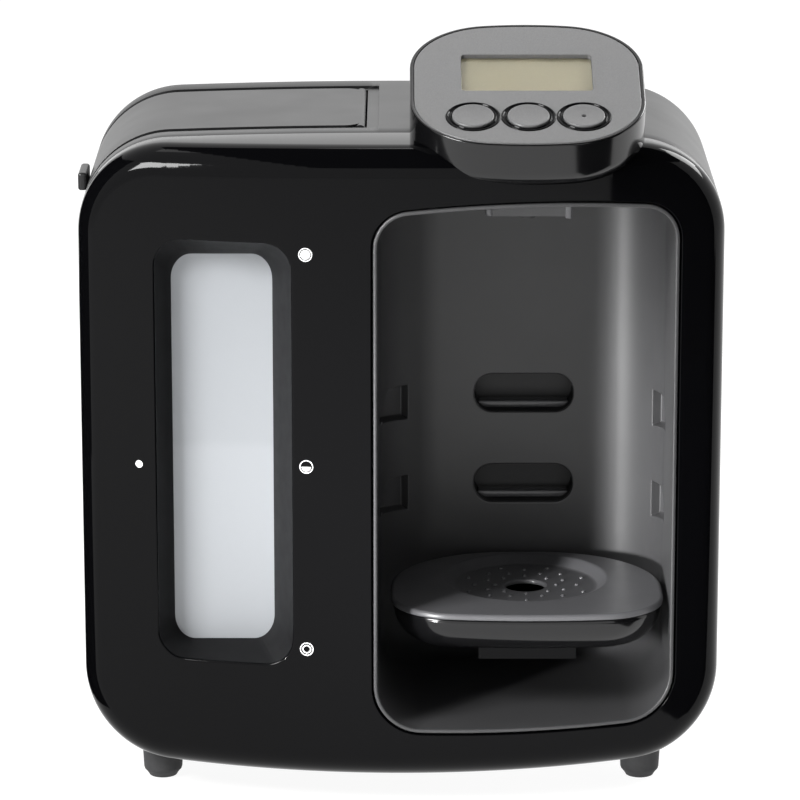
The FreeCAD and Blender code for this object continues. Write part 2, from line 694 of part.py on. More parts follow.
def slot_block(label, level, grow, near, far):
    low = slot_low(level)
    half = s.slot_width / 2 + grow
    return wall_block(label, s.pour_x - half, s.pour_x + half, low - grow, low + s.slot_height + grow,
                      s.slot_radius + grow, near, far)


def side_notches(label, level):
    """Dimples in both rear corners, level with a slot's foot, whose tops slope to the front."""
    prism = new_body(f"{label}_prism")
    sketch = new_sketch(prism, "YZ_Plane", s.bay_left)
    ledge = slot_low(level)
    back = s.notch_front_y + s.notch_length
    draw_polygon(sketch, [(s.notch_front_y, ledge), (back, ledge), (back, ledge + s.notch_height),
                          (s.notch_front_y + s.notch_length / 2, ledge + s.notch_height)])
    pad(prism, sketch, s.bay_right - s.bay_left)
    room = bay_block(f"{label}_room", s.bay_wall - s.notch_depth, s.parting_y, s.bay_back_y + s.notch_depth,
                     s.bay_back_round + s.notch_depth)
    return common(label, prism, room)


def bay_liner():
    back = s.bay_back_y + s.bay_wall
    outer = bay_block("liner_outer", as_size(0), s.front_y - s.overlap, back, s.bay_back_round + s.bay_wall)
    cavity = bay_block("liner_cavity", s.bay_wall, s.front_y - s.overlap * 2, s.bay_back_y, s.bay_back_round)
    pocket_back = s.bay_back_y + s.slot_depth
    bosses = [slot_block(f"slot_boss_{i}", i, s.slot_wall, s.bay_back_y, pocket_back + s.slot_wall)
              for i in range(SLOTS)]
    slots = [slot_block(f"slot_{i}", i, as_size(0), s.bay_back_y - s.overlap, pocket_back)
             for i in range(SLOTS)]
    notches = [side_notches(f"notches_{i}", i) for i in range(1, SLOTS)]
    neck_hole = rod("neck_hole", "z", s.nozzle_radius + s.seat_gap, s.bay_high - s.bay_wall * 2,
                    s.bay_high + s.overlap, x=s.pour_x, y=s.pour_y)
    hollow = cut("liner_hollow", fuse("liner_blank", outer, *bosses), cavity,
                 front_waste("liner_waste", as_size(0), s.overlap * 2), neck_hole, *slots, *notches)
    ledges = []
    for i in range(SLOTS):
        ledges.append(box(f"slot_ledge_{i}", (s.pour_x - s.slot_width / 2, s.pour_x + s.slot_width / 2),
                          (s.bay_back_y + s.slot_lip, pocket_back),
                          (slot_low(i) - s.slot_wall / 2, slot_low(i) + s.slot_ledge)))
    keep("bay_liner", fuse("bay_liner", hollow, *ledges))


nozzle_top = s.bay_high - s.bay_wall - s.panel_gap - s.nozzle_drop
nozzle_low = nozzle_top - s.nozzle_height
neck_top = s.bay_high + s.overlap / 2


def nozzle():
    half = s.nozzle_width / 2
    middle = s.nozzle_depth / 2
    block = box("nozzle_box", (s.pour_x - half, s.pour_x + half), (s.pour_y - middle, s.pour_y + middle),
                (nozzle_low, nozzle_top))
    neck = rod("nozzle_neck", "z", s.nozzle_radius, nozzle_low, neck_top, x=s.pour_x, y=s.pour_y)
    spigot = rod("nozzle_spigot", "z", s.spigot_radius, nozzle_low, neck_top + s.spigot_length,
                 x=s.pour_x, y=s.pour_y)
    bore = rod("nozzle_block_bore", "z", s.nozzle_bore, nozzle_low - s.overlap,
               neck_top + s.spigot_length + s.overlap, x=s.pour_x, y=s.pour_y)
    socket = rod("nozzle_socket", "z", s.nozzle_radius, nozzle_low - s.overlap,
                 nozzle_low + s.nozzle_height / 2, x=s.pour_x, y=s.pour_y)
    keep("nozzle_block", cut("nozzle_block", fuse("nozzle_solid", block, neck, spigot), bore, socket))
    shank = rod("tip_shank", "z", s.nozzle_radius, nozzle_low, nozzle_low + s.nozzle_height / 2,
                x=s.pour_x, y=s.pour_y)
    point = cone("tip_point", s.nozzle_tip_radius, s.nozzle_radius, nozzle_low - s.nozzle_tip_length,
                 nozzle_low, s.pour_x, s.pour_y)
    tip_bore = rod("tip_bore", "z", s.nozzle_bore, nozzle_low - s.overlap * 3, nozzle_top,
                   x=s.pour_x, y=s.pour_y)
    keep("nozzle_tip", cut("nozzle_tip", fuse("tip_solid", shank, point), tip_bore))


# ---------------------------------------------------------------------------------------------
# Water tank behind its window, and the filter that sits in its mouth
# ---------------------------------------------------------------------------------------------

tank_front = s.window_back_y + s.pane_thick + s.seat_gap
outlet_z = s.tank_low + s.outlet_rise
tray_top = s.tank_high + s.filter_tray_thick
filter_x = (s.tank_left + s.tank_right) / 2


def tank_block(label, inset, low, high):
    body = new_body(label)
    sketch = new_sketch(body, "XZ_Plane", -(s.tank_back_y - inset))
    left = s.tank_left + inset
    right = s.tank_right - inset
    draw_polygon(sketch, [(left, low), (right, low), (right, high), (left, high)])
    pad(body, sketch, s.tank_back_y - inset - (tank_front + inset))
    corner = Vector(left.number, 0, low.number)
    radius = s.tank_round - inset
    round_edges(body, radius, lambda edge: runs_along(edge, Vector(0, 1, 0))
                and abs(edge.BoundBox.XMin - corner.x) < 0.01 and abs(edge.BoundBox.ZMin - corner.z) < 0.01)
    return body


def water_tank():
    outer = tank_block("tank_outer", as_size(0), s.tank_low, s.tank_high)
    inner = tank_block("tank_inner", s.tank_wall, s.tank_low + s.tank_wall, s.tank_high + s.overlap)
    boss = rod("tank_boss", "x", s.hose_radius, s.tank_right - s.tank_wall / 2, s.tank_right + s.spigot_seat,
               y=s.outlet_y, z=outlet_z)
    spigot = rod("tank_spigot", "x", s.spigot_radius, s.tank_right - s.tank_wall / 2,
                 s.tank_right + s.spigot_seat + s.spigot_length, y=s.outlet_y, z=outlet_z)
    bore = rod("tank_spigot_bore", "x", s.nozzle_bore, s.tank_right - s.tank_wall * 2,
               s.tank_right + s.spigot_seat + s.spigot_length + s.overlap, y=s.outlet_y, z=outlet_z)
    hollow = cut("tank_hollow", outer, inner)
    keep("water_tank", cut("water_tank", fuse("tank_solid", hollow, boss, spigot), bore))
    inset = s.window_slope - s.pane_margin
    keep("tank_window", wall_block("tank_window", s.window_left + inset, s.window_right - inset,
                                   s.window_low + inset, s.window_high - inset, s.window_radius - inset,
                                   s.window_back_y, s.window_back_y + s.pane_thick))


def tank_cradle():
    """The rails that carry the tank above the floor of the casing."""
    left = s.tank_left + s.tank_round
    right = s.tank_right - s.cradle_rail
    rails = []
    for i, y in enumerate((s.parting_y + s.cradle_rail, s.tank_back_y - s.cradle_rail * 2)):
        rails.append(box(f"cradle_rail_{i}", (left, right), (y, y + s.cradle_rail),
                         (s.body_low, s.tank_low)))
    web = box("cradle_web", (left, left + s.cradle_web), (s.parting_y + s.cradle_rail,
              s.tank_back_y - s.cradle_rail), (s.body_low, s.tank_low))
    inside = outline_body("cradle_casing", s.shell_wall + s.base_flange_thick,
                          s.parting_y - s.overlap, s.back_y)
    keep("tank_cradle", common("tank_cradle", fuse("cradle_solid", *rails, web), inside))


def filter_unit():
    """A tray that closes the tank's mouth, with a cup for the filter cartridge."""
    tray = box("tray_plate", (s.tank_left, s.tank_right), (s.filter_tray_front, s.tank_back_y),
               (s.tank_high, tray_top))
    cup = rod("cup_wall", "z", s.filter_radius + s.filter_cup_wall + s.seat_gap, s.tank_high - s.filter_length,
              tray_top, x=filter_x, y=s.filter_y)
    well = rod("cup_well", "z", s.filter_radius + s.seat_gap, s.tank_high - s.filter_length + s.filter_cup_wall,
               tray_top + s.overlap, x=filter_x, y=s.filter_y)
    drain = rod("cup_drain", "z", s.filter_radius / 4, s.tank_high - s.filter_length - s.overlap,
                s.tank_high, x=filter_x, y=s.filter_y)
    keep("filter_tray", cut("filter_tray", fuse("filter_tray_solid", tray, cup), well, drain))
    foot = s.tank_high - s.filter_length + s.filter_cup_wall
    keep("filter_cartridge", rod("filter_cartridge", "z", s.filter_radius, foot, s.tank_high,
                                 x=filter_x, y=s.filter_y))
    cap = rod("filter_cap_disc", "z", s.filter_radius, s.tank_high, tray_top, x=filter_x, y=s.filter_y)
    grip = box("filter_grip", (filter_x - s.filter_radius / 2, filter_x + s.filter_radius / 2),
               (s.filter_y - s.filter_cup_wall, s.filter_y + s.filter_cup_wall),
               (tray_top, tray_top + s.filter_grip))
    keep("filter_cap", fuse("filter_cap", cap, grip))


# ---------------------------------------------------------------------------------------------
# Tank lid, its recessed frame and the hinge pin at its right end
# ---------------------------------------------------------------------------------------------

lid_axis_x = s.lid_right - s.lid_axis_depth
lid_axis_z = s.body_high - s.lid_axis_depth
lug_length = s.lid_frame_width - s.overlap / 2


def lid_region(label, grow, right):
    return box(label, (well_left, right), (s.lid_front_y - grow, s.lid_back_y + grow),
               (s.lid_low - grow, well_above))


def lid_frame():
    near = frame_front - s.overlap
    far = frame_back + s.overlap
    outer = outline_body("frame_outer", s.lid_frame_recess, near, far)
    core = outline_body("frame_core", s.lid_wall + s.seat_gap + s.frame_ledge_thick, near - s.overlap,
                        far + s.overlap)
    ring = common("frame_ring", cut("frame_shell", outer, core), frame_region("frame_box", as_size(0)))
    below_lid = outline_body("frame_below_lid", s.lid_wall + s.seat_gap, near - s.overlap, far + s.overlap)
    right = s.lid_right + s.lid_gap
    seat = cut("lid_seat", lid_region("seat_box", s.lid_gap, right), below_lid)
    mouth = lid_region("mouth_box", -s.frame_ledge, right)
    barrel_room = box("barrel_room", (lid_axis_x - s.lid_axis_depth - s.lid_gap, right),
                      (s.lid_front_y - s.lid_gap, s.lid_back_y + s.lid_gap),
                      (lid_axis_z - s.lid_axis_depth * 2, well_above))
    body = cut("frame_body", ring, seat, mouth, barrel_room)
    lugs = []
    for i, start in enumerate((s.lid_front_y - s.lid_gap - lug_length, s.lid_back_y + s.lid_gap)):
        lugs.append(box(f"hinge_lug_{i}", (lid_axis_x - s.hinge_lug, lid_axis_x + s.hinge_lug),
                        (start, start + lug_length),
                        (lid_axis_z - s.hinge_lug, s.body_high - s.lid_frame_recess)))
    bore = rod("frame_pin_bore", "y", s.hinge_pin_radius, s.lid_front_y - s.lid_gap - lug_length + s.overlap / 2,
               s.lid_back_y + s.lid_gap + lug_length - s.overlap / 2, x=lid_axis_x, z=lid_axis_z)
    keep("lid_frame", cut("lid_frame", fuse("lid_frame_solid", body, *lugs), bore))
    keep("lid_hinge_pin", rod("lid_hinge_pin", "y", s.hinge_pin_radius,
                              s.lid_front_y - s.lid_gap - lug_length + s.overlap / 2,
                              s.lid_back_y + s.lid_gap + lug_length - s.overlap / 2, x=lid_axis_x, z=lid_axis_z))


def tank_lid():
    near = s.lid_front_y - s.overlap
    far = s.lid_back_y + s.overlap
    shell = cut("lid_shell", outline_body("lid_outer", as_size(0), near, far),
                outline_body("lid_inner", s.lid_wall, near - s.overlap, far + s.overlap))
    panel = common("lid_panel", shell, lid_region("lid_box", as_size(0), lid_axis_x))
    barrel = rod("lid_barrel", "y", s.lid_axis_depth, s.lid_front_y, s.lid_back_y, x=lid_axis_x, z=lid_axis_z)
    tab = wall_block("lid_tab", -half_width - s.tab_reach, -half_width + s.lid_wall / 2, s.lid_low,
                     s.lid_low + s.tab_height, s.tab_round, s.tab_front_y, s.tab_front_y + s.tab_width)
    bore = rod("lid_bore", "y", s.hinge_pin_radius + s.hinge_clearance, near, far, x=lid_axis_x, z=lid_axis_z)
    keep("tank_lid", cut("tank_lid", fuse("lid_solid", panel, barrel, tab), bore))


# ---------------------------------------------------------------------------------------------
# Bottle stand: tray cover with its dish and pips, drip tray and the bracket that plugs into a slot
# ---------------------------------------------------------------------------------------------

plate_low = s.plate_high - s.plate_thick
dish_floor = s.plate_high - s.dish_depth
tongue_high = plate_low - s.seat_gap
tray_rim = s.plate_high - s.plate_lip - s.seat_gap
plug_inset = s.tray_inset + s.tray_wall + s.seat_gap
tray_back = s.plate_back_y - s.tray_inset
bracket_back = tray_back + s.panel_gap + s.riser_thick


def stand_outline(inset):
    def plan(sketch):
        half = s.plate_width / 2 - inset
        draw_bowed(sketch, s.pour_x - half, s.pour_x + half, s.plate_front_y + inset, s.plate_back_y - inset,
                   s.plate_front_radius - inset, s.plate_back_radius - inset,
                   s.plate_bow_radius - inset, s.plate_bow_radius * 2 - inset)
    return plan


def tray_cover():
    lip = sheet_block("cover_lip", stand_outline(as_size(0)), s.plate_high - s.plate_lip, s.plate_high)
    round_edges(lip, s.plate_edge_round, lambda edge: lies_at(edge, "z", s.plate_high.number))
    plug = sheet_block("cover_plug", stand_outline(plug_inset), plate_low, s.plate_high - s.plate_lip / 2)
    plate = fuse("cover_plate", lip, plug)
    dish = cone("dish", s.dish_floor_radius, s.dish_radius, dish_floor, s.plate_high, s.pour_x, s.pour_y)
    drain = rod("drain_hole", "z", s.drain_radius, plate_low - s.overlap, s.plate_high, x=s.pour_x, y=s.pour_y)
    pips = new_body("pips")
    sketch = new_sketch(pips, "XY_Plane", as_size(0))
    for ring in range(PIP_RINGS):
        turn = math.pi / PIP_RAYS * (ring % 2)
        radius = s.pip_first_ring + s.pip_ring_step * ring
        draw_circle(sketch, radius * math.cos(turn), radius * math.sin(turn), s.pip_radius)
    raised = pad(pips, sketch, s.pip_height * 2)
    pattern = pips.newObject("PartDesign::PolarPattern", "pip_pattern")
    pattern.Originals = [raised]
    pattern.Axis = (plane_of(pips, "Z_Axis"), [""])
    pattern.Angle = 360
    pattern.Occurrences = PIP_RAYS
    pips.Tip = pattern
    place(pips, s.pour_x, s.pour_y, dish_floor - s.pip_height)
    doc.recompute()
    keep("tray_cover", fuse("tray_cover", cut("cover_dished", plate, dish, drain), pips))


def drip_tray():
    outer = sheet_block("tray_outer", stand_outline(s.tray_inset), s.tray_low, tray_rim)
    round_edges(outer, s.tray_round, lambda edge: lies_at(edge, "z", s.tray_low.number))
    floor = s.tray_low + s.tray_wall
    inner = sheet_block("tray_inner", stand_outline(s.tray_inset + s.tray_wall), floor, tray_rim + s.overlap)
    round_edges(inner, s.tray_round - s.tray_wall, lambda edge: lies_at(edge, "z", floor.number))
    keep("drip_tray", cut("drip_tray", outer, inner))


def stand_bracket():
    half = s.arm_width / 2
    arm = box("arm", (s.pour_x - half, s.pour_x + half), (s.arm_front_y, bracket_back),
              (s.tray_low - s.arm_thick, s.tray_low))
    riser = box("riser", (s.pour_x - half, s.pour_x + half), (tray_back + s.panel_gap, bracket_back),
                (s.tray_low - s.arm_thick, tongue_high))
    tongue = box("tongue", (s.pour_x - s.tongue_width / 2, s.pour_x + s.tongue_width / 2),
                 (bracket_back, bracket_back + s.tongue_length), (tongue_high - s.tongue_thick, tongue_high))
    keep("stand_bracket", fuse("stand_bracket", arm, riser, tongue))


# ---------------------------------------------------------------------------------------------
# Control head: everything is drawn flat about the face's centre and then tilted
# ---------------------------------------------------------------------------------------------

def head_outline(inset):
    def plan(sketch):
        half = s.head_width / 2 - inset
        reach = s.head_length / 2 - inset
        draw_bowed(sketch, -half, half, -reach, reach, s.head_radius - inset, s.head_radius - inset,
                   s.head_bow_radius - inset, s.head_bow_radius - inset)
    return plan


def head_block(label, inset, floor, top):
    """The bowl-edged puck, with the neck that carries its back part down to the casing."""
    puck = sheet_block(f"{label}_puck", head_outline(inset), -s.head_depth + floor, top)
    low = (floor - s.head_depth).number
    round_edges(puck, s.head_round - inset, lambda edge: lies_at(edge, "z", low))
    tall = sheet_block(f"{label}_tall", head_outline(inset), -s.head_depth * 3, -s.head_round)
    front = box(f"{label}_front", (-s.head_width, s.head_width), (-s.head_length, -s.neck_front),
                (-s.head_depth * 4, as_size(0)))
    neck = cut(f"{label}_neck", tall, front)
    return tilt_to_head(fuse(label, puck, neck))


def head_housing():
    outer = head_block("head_outer", as_size(0), as_size(0), as_size(0))
    casing = bulged_block("head_casing", -s.panel_gap, s.back_y + s.overlap)
    hollow = head_block("head_hollow", s.head_wall, s.head_wall, s.overlap)
    floor = bulged_block("head_floor", -s.panel_gap - s.head_wall, s.back_y + s.overlap)
    room = carve("head_room", hollow, floor)
    hole = box("head_cable_hole", *cable_hole, (s.body_high - s.overlap, s.head_z))
    seat = sheet_block("face_seat", head_outline(s.face_inset - s.panel_gap), -s.face_thick, s.overlap)
    keep("head_housing", cut("head_housing", carve("head_solid", outer, casing), room, hole,
                             tilt_to_head(group("face_seat_tilted", seat))))


def window_rect(label, grow, low, high):
    half = s.lcd_width / 2 + grow
    rise = s.lcd_height / 2 + grow
    return sheet_block(label, lambda sketch: draw_rounded(
        sketch, -half, half, s.lcd_y - rise, s.lcd_y + rise, s.lcd_radius), low, high)


def button_places():
    return [(s.button_pitch * (i - 1), s.button_y) for i in range(BUTTONS)]


def post_places():
    return [(x, y) for x in (-s.post_x, s.post_x) for y in (s.post_front, s.post_back)]


def tilted(label, item):
    """A flat-drawn control head piece, put in its place."""
    item.Label = f"{label}_flat"
    return keep(label, tilt_to_head(group(f"{label}_tilted", item)))


def control_face():
    plate = sheet_block("face_blank", head_outline(s.face_inset), -s.face_thick, as_size(0))
    holes = [rod(f"face_hole_{i}", "z", s.ring_radius, -s.face_thick - s.overlap, s.overlap, x=x, y=y)
             for i, (x, y) in enumerate(button_places())]
    window = window_rect("face_window", as_size(0), -s.face_thick - s.overlap, s.overlap)
    posts = [rod(f"face_post_{i}", "z", s.post_radius, -s.board_depth, -s.face_thick, x=x, y=y)
             for i, (x, y) in enumerate(post_places())]
    tilted("control_face", fuse("control_face", cut("face_pierced", plate, window, *holes), *posts))
    tilted("lcd_lens", window_rect("lcd_lens", s.lcd_frame, -s.face_thick - s.lens_thick, -s.face_thick))
    lens_back = s.face_thick + s.lens_thick
    tilted("lcd_module", window_rect("lcd_module", s.lcd_frame, -s.board_depth, -lens_back))
    board = box("control_board", (-s.board_width / 2, s.board_width / 2), (s.board_front, s.board_back),
                (-s.board_depth - s.board_thick, -s.board_depth))
    tilted("control_board", board)
    switch_top = -s.board_depth + s.switch_height
    half = s.switch_size / 2
    switches = [box(f"switch_{i}", (x - half, x + half), (y - half, y + half), (-s.board_depth, switch_top))
                for i, (x, y) in enumerate(button_places())]
    tilted("button_switches", group("button_switches", *switches))
    tilted("buzzer", rod("buzzer", "z", s.buzzer_radius, -s.board_depth - s.board_thick - s.buzzer_height,
                         -s.board_depth - s.board_thick, x=s.buzzer_x, y=s.buzzer_y))
    screws = [rod(f"board_screw_{i}", "z", s.post_radius, -s.board_depth - s.board_thick - s.screw_head,
                  -s.board_depth - s.board_thick, x=x, y=y) for i, (x, y) in enumerate(post_places())]
    tilted("control_board_screws", group("control_board_screws", *screws))


def buttons():
    flange_low = -s.board_depth + s.switch_height + s.button_travel + s.overlap / 10
    rings = []
    for i, (x, y) in enumerate(button_places(), start=1):
        ring = rod(f"ring_disc_{i}", "z", s.ring_radius, -s.face_thick, s.ring_proud, x=x, y=y)
        bore = rod(f"ring_bore_{i}", "z", s.button_radius + s.ring_gap, -s.face_thick - s.overlap, s.overlap,
                   x=x, y=y)
        rings.append(cut(f"button_ring_{i}", ring, bore))
        cap = rod(f"button_cap_{i}", "z", s.button_radius, flange_low, s.button_proud, x=x, y=y)
        flange = rod(f"button_flange_{i}", "z", s.button_radius + s.ring_gap * 3, flange_low,
                     -s.face_thick - s.seat_gap, x=x, y=y)
        tilted(f"button_{i}", fuse(f"button_{i}", cap, flange))
    tilted("button_rings", group("button_rings", *rings))


# ---------------------------------------------------------------------------------------------
# Water circuit behind the bay: pump, boiler, valve, hoses and the plate that carries them
# ---------------------------------------------------------------------------------------------

chassis_front = housing_inner_y - s.panel_gap - s.chassis_thick
volute_top = s.pump_low + s.volute_height
pump_port_z = s.pump_low + s.volute_height / 2
motor_low = volute_top + s.pump_cover
boiler_foot = s.boiler_low - s.cap_height
boiler_head = s.boiler_high + s.cap_height
board_back = chassis_front - s.standoff
board_front_y = board_back - s.board_thick


def spigot(label, axis, start, direction, **spot):
    """A hose seat and the barb that goes on into the hose."""
    seat_end = start + s.spigot_seat * direction
    barb_end = seat_end + s.spigot_length * direction
    low, seat, barb = (start, seat_end, barb_end) if direction > 0 else (seat_end, start, start)
    seat_rod = rod(f"{label}_seat", axis, s.hose_radius, low, seat, **spot)
    barb_low = start if direction > 0 else barb_end
    barb_rod = rod(f"{label}_barb", axis, s.spigot_radius, barb_low, barb, **spot)
    return seat_rod, barb_rod


def board_corners():
    edge = s.standoff_radius * 2
    return [(x, z) for x in (s.power_left + edge, s.power_left + s.power_width - edge)
            for z in (s.power_low + edge, s.power_low + s.power_height - edge)]


def chassis_plate():
    """The upright plate with its standoffs for the power board and its block for the valve."""
    plate = box("chassis_sheet", (s.chassis_left, s.chassis_right),
                (chassis_front, chassis_front + s.chassis_thick), (s.chassis_low, s.chassis_high))
    standoffs = [rod(f"standoff_{i}", "y", s.standoff_radius, board_back, chassis_front, x=x, z=z)
                 for i, (x, z) in enumerate(board_corners())]
    block = box("valve_seat", (s.pour_x - s.clamp_arm / 2, s.pour_x + s.clamp_arm / 2),
                (s.valve_y + s.valve_width / 2, chassis_front),
                (s.valve_z - s.clamp_height / 2, s.valve_z + s.clamp_height / 2))
    keep("chassis_plate", fuse("chassis_plate", plate, block, *standoffs))


def ring_bracket(label, x, y, radius, low, high):
    """A clamp ring round an upright cylinder, with an arm back to the chassis plate."""
    band = rod(f"{label}_band", "z", radius + s.clamp_wall, low, high, x=x, y=y)
    arm = box(f"{label}_arm", (x - s.clamp_arm / 2, x + s.clamp_arm / 2), (y, chassis_front), (low, high))
    bore = rod(f"{label}_bore", "z", radius, low - s.overlap, high + s.overlap, x=x, y=y)
    keep(label, cut(label, fuse(f"{label}_solid", band, arm), bore))


def pump():
    x, y = s.pump_x, s.pump_y
    left = s.pump_x - s.volute_radius
    right = s.pump_x + s.volute_radius
    shell = rod("volute_shell", "z", s.volute_radius, s.pump_low, volute_top, x=x, y=y)
    inlet = spigot("pump_inlet", "x", left + s.volute_wall / 2, -1, y=y, z=pump_port_z)
    outlet = spigot("pump_outlet", "x", right - s.volute_wall / 2, 1, y=y, z=pump_port_z)
    chamber = rod("volute_chamber", "z", s.volute_radius - s.volute_wall, s.pump_low + s.volute_wall,
                  volute_top + s.overlap, x=x, y=y)
    reach = s.spigot_seat + s.spigot_length + s.overlap
    ports = rod("volute_ports", "x", s.nozzle_bore, left - reach, right + reach, y=y, z=pump_port_z)
    pivot = rod("volute_pivot", "z", s.pump_shaft_radius + s.hinge_clearance,
                s.pump_low + s.volute_wall / 2, volute_top, x=x, y=y)
    solid = fuse("volute_solid", shell, *inlet, *outlet)
    keep("pump_volute", cut("pump_volute", solid, chamber, ports, pivot))
    cover = rod("pump_cover_disc", "z", s.volute_radius, volute_top, motor_low, x=x, y=y)
    cover_bore = rod("pump_cover_bore", "z", s.pump_shaft_radius + s.hinge_clearance,
                     volute_top - s.overlap, motor_low + s.overlap, x=x, y=y)
    keep("pump_cover", cut("pump_cover", cover, cover_bore))
    motor = rod("motor_can", "z", s.motor_radius, motor_low, motor_low + s.motor_length, x=x, y=y)
    motor_bore = rod("motor_bore", "z", s.pump_shaft_radius + s.hinge_clearance, motor_low - s.overlap,
                     motor_low + s.motor_length / 2, x=x, y=y)
    keep("pump_motor", cut("pump_motor", motor, motor_bore))
    shaft_low = s.pump_low + s.volute_wall / 2 + s.panel_gap
    keep("pump_shaft", rod("pump_shaft", "z", s.pump_shaft_radius, shaft_low,
                           motor_low + s.motor_length / 2 - s.panel_gap, x=x, y=y))
    disc = rod("impeller_disc", "z", s.impeller_radius, pump_port_z - s.impeller_thick / 2,
               pump_port_z - s.impeller_thick / 2 + s.volute_wall, x=x, y=y)
    hub = rod("impeller_hub", "z", s.pump_shaft_radius * 3, pump_port_z - s.impeller_thick / 2,
              pump_port_z + s.impeller_thick / 2, x=x, y=y)
    blades = []
    for i in range(3):
        half = s.volute_wall / 4
        blade = box(f"blade_{i}", (-s.impeller_radius + s.volute_wall, s.impeller_radius - s.volute_wall),
                    (-half, half), (0, s.impeller_thick))
        turned = group(f"blade_turned_{i}", blade)
        turned.Placement = Placement(Vector(), Rotation(Vector(0, 0, 1), 60 * i))
        blades.append(place(turned, x, y, pump_port_z - s.impeller_thick / 2))
    bore = rod("impeller_bore", "z", s.pump_shaft_radius, s.pump_low, volute_top, x=x, y=y)
    keep("pump_impeller", cut("pump_impeller", fuse("impeller_solid", disc, hub, *blades), bore))
    clamp_low = motor_low + s.motor_length / 3
    ring_bracket("pump_bracket", x, y, s.motor_radius, clamp_low, clamp_low + s.clamp_height)


def boiler():
    x, y = s.boiler_x, s.boiler_y
    outer = rod("boiler_outer", "z", s.boiler_radius, s.boiler_low, s.boiler_high, x=x, y=y)
    inner = rod("boiler_inner", "z", s.boiler_radius - s.boiler_wall, s.boiler_low - s.overlap,
                s.boiler_high + s.overlap, x=x, y=y)
    keep("boiler_tube", cut("boiler_tube", outer, inner))
    for label, low, high, start, direction in (
            ("boiler_bottom_cap", boiler_foot, s.boiler_low, boiler_foot + s.boiler_wall, -1),
            ("boiler_top_cap", s.boiler_high, boiler_head, boiler_head - s.boiler_wall, 1)):
        disc = rod(f"{label}_disc", "z", s.boiler_radius, low, high, x=x, y=y)
        port = spigot(f"{label}_port", "z", start, direction, x=x, y=y)
        reach = s.spigot_seat + s.spigot_length + s.overlap
        bore = rod(f"{label}_bore", "z", s.nozzle_bore, low - reach, high + reach, x=x, y=y)
        keep(label, cut(label, fuse(f"{label}_solid", disc, *port), bore))
    legs = []
    for i, side in enumerate((-1, 1)):
        legs.append(rod(f"heater_leg_{i}", "z", s.heater_radius, s.boiler_low, s.boiler_high - s.heater_room,
                        x=x + s.heater_spread * side, y=y))
    cross = rod("heater_cross", "x", s.heater_radius * 0.8, x - s.heater_spread, x + s.heater_spread,
                y=y, z=s.boiler_high - s.heater_room - s.heater_radius)
    keep("heating_element", fuse("heating_element", *legs, cross))
    wall = rod("boiler_wall_cutter", "z", s.boiler_radius, s.boiler_low, s.boiler_high, x=x, y=y)
    side = x - s.boiler_radius
    for label, rise in (("thermostat", s.thermostat_rise), ("thermal_fuse", s.fuse_rise)):
        z = s.boiler_low + rise
        button = rod(f"{label}_disc", "x", s.sensor_radius, side - s.sensor_height, side + s.overlap, y=y, z=z)
        keep(label, cut(label, button, wall))
    clamp_low = s.boiler_high - s.clamp_height * 2
    ring_bracket("boiler_bracket", x, y, s.boiler_radius, clamp_low, clamp_low + s.clamp_height)


valve_right = s.pour_x + s.valve_length / 2
valve_low = s.valve_z - s.valve_width / 2
valve_high = s.valve_z + s.valve_width / 2
coil_low = valve_low - s.coil_length


def valve():
    """The solenoid valve: a block with two ports, and a coil below it that pulls its plunger down."""
    x, y, z = s.pour_x, s.valve_y, s.valve_z
    half = s.valve_length / 2
    block = box("valve_box", (x - half, x + half), (y - s.valve_width / 2, y + s.valve_width / 2),
                (valve_low, valve_high))
    inlet = spigot("valve_inlet", "x", valve_right - s.overlap / 2, 1, y=y, z=z)
    outlet = spigot("valve_outlet", "z", valve_high - s.overlap / 2, 1, x=x, y=y)
    reach = s.spigot_seat + s.spigot_length + s.overlap
    inlet_bore = rod("valve_inlet_bore", "x", s.nozzle_bore, x, valve_right + reach, y=y, z=z)
    outlet_bore = rod("valve_outlet_bore", "z", s.nozzle_bore, z, valve_high + reach, x=x, y=y)
    seat_z = z - s.nozzle_bore * 1.5
    guide = rod("valve_guide", "z", s.plunger_radius + s.hinge_clearance, valve_low - s.overlap, seat_z, x=x, y=y)
    keep("valve_body", cut("valve_body", fuse("valve_solid", block, *inlet, *outlet),
                           inlet_bore, outlet_bore, guide))
    coil = rod("coil_can", "z", s.valve_width / 2, coil_low, valve_low, x=x, y=y)
    floor = coil_low + s.boiler_wall
    tunnel = rod("coil_tunnel", "z", s.plunger_radius + s.hinge_clearance, floor, valve_low + s.overlap, x=x, y=y)
    keep("valve_coil", cut("valve_coil", coil, tunnel))
    plunger_low = floor + s.plunger_travel * 2.5
    keep("valve_plunger", rod("valve_plunger", "z", s.plunger_radius, plunger_low, seat_z - s.seat_gap, x=x, y=y))
    keep("valve_spring", coil_spring("valve_spring", floor, plunger_low, x, y))


def coil_spring(label, low, high, x, y):
    """A helix of round wire between the coil's floor and the plunger."""
    wire = s.spring_wire.number
    radius = (s.plunger_radius - s.spring_wire * 2).number
    length = (high - low).number - wire * 2
    turns = 3
    helix = Part.makeHelix(length / turns, length, radius)
    section = Part.Wire([Part.Circle(Vector(radius, 0, 0), Vector(0, 1, 0), wire).toShape()])
    item = doc.addObject("Part::Feature", label)
    item.Label = label
    item.Shape = Part.Wire(helix.Edges).makePipeShell([section], True, True)
    item.Placement = Placement(Vector(x.number, as_size(y).number, low.number + wire), Rotation())
    return item


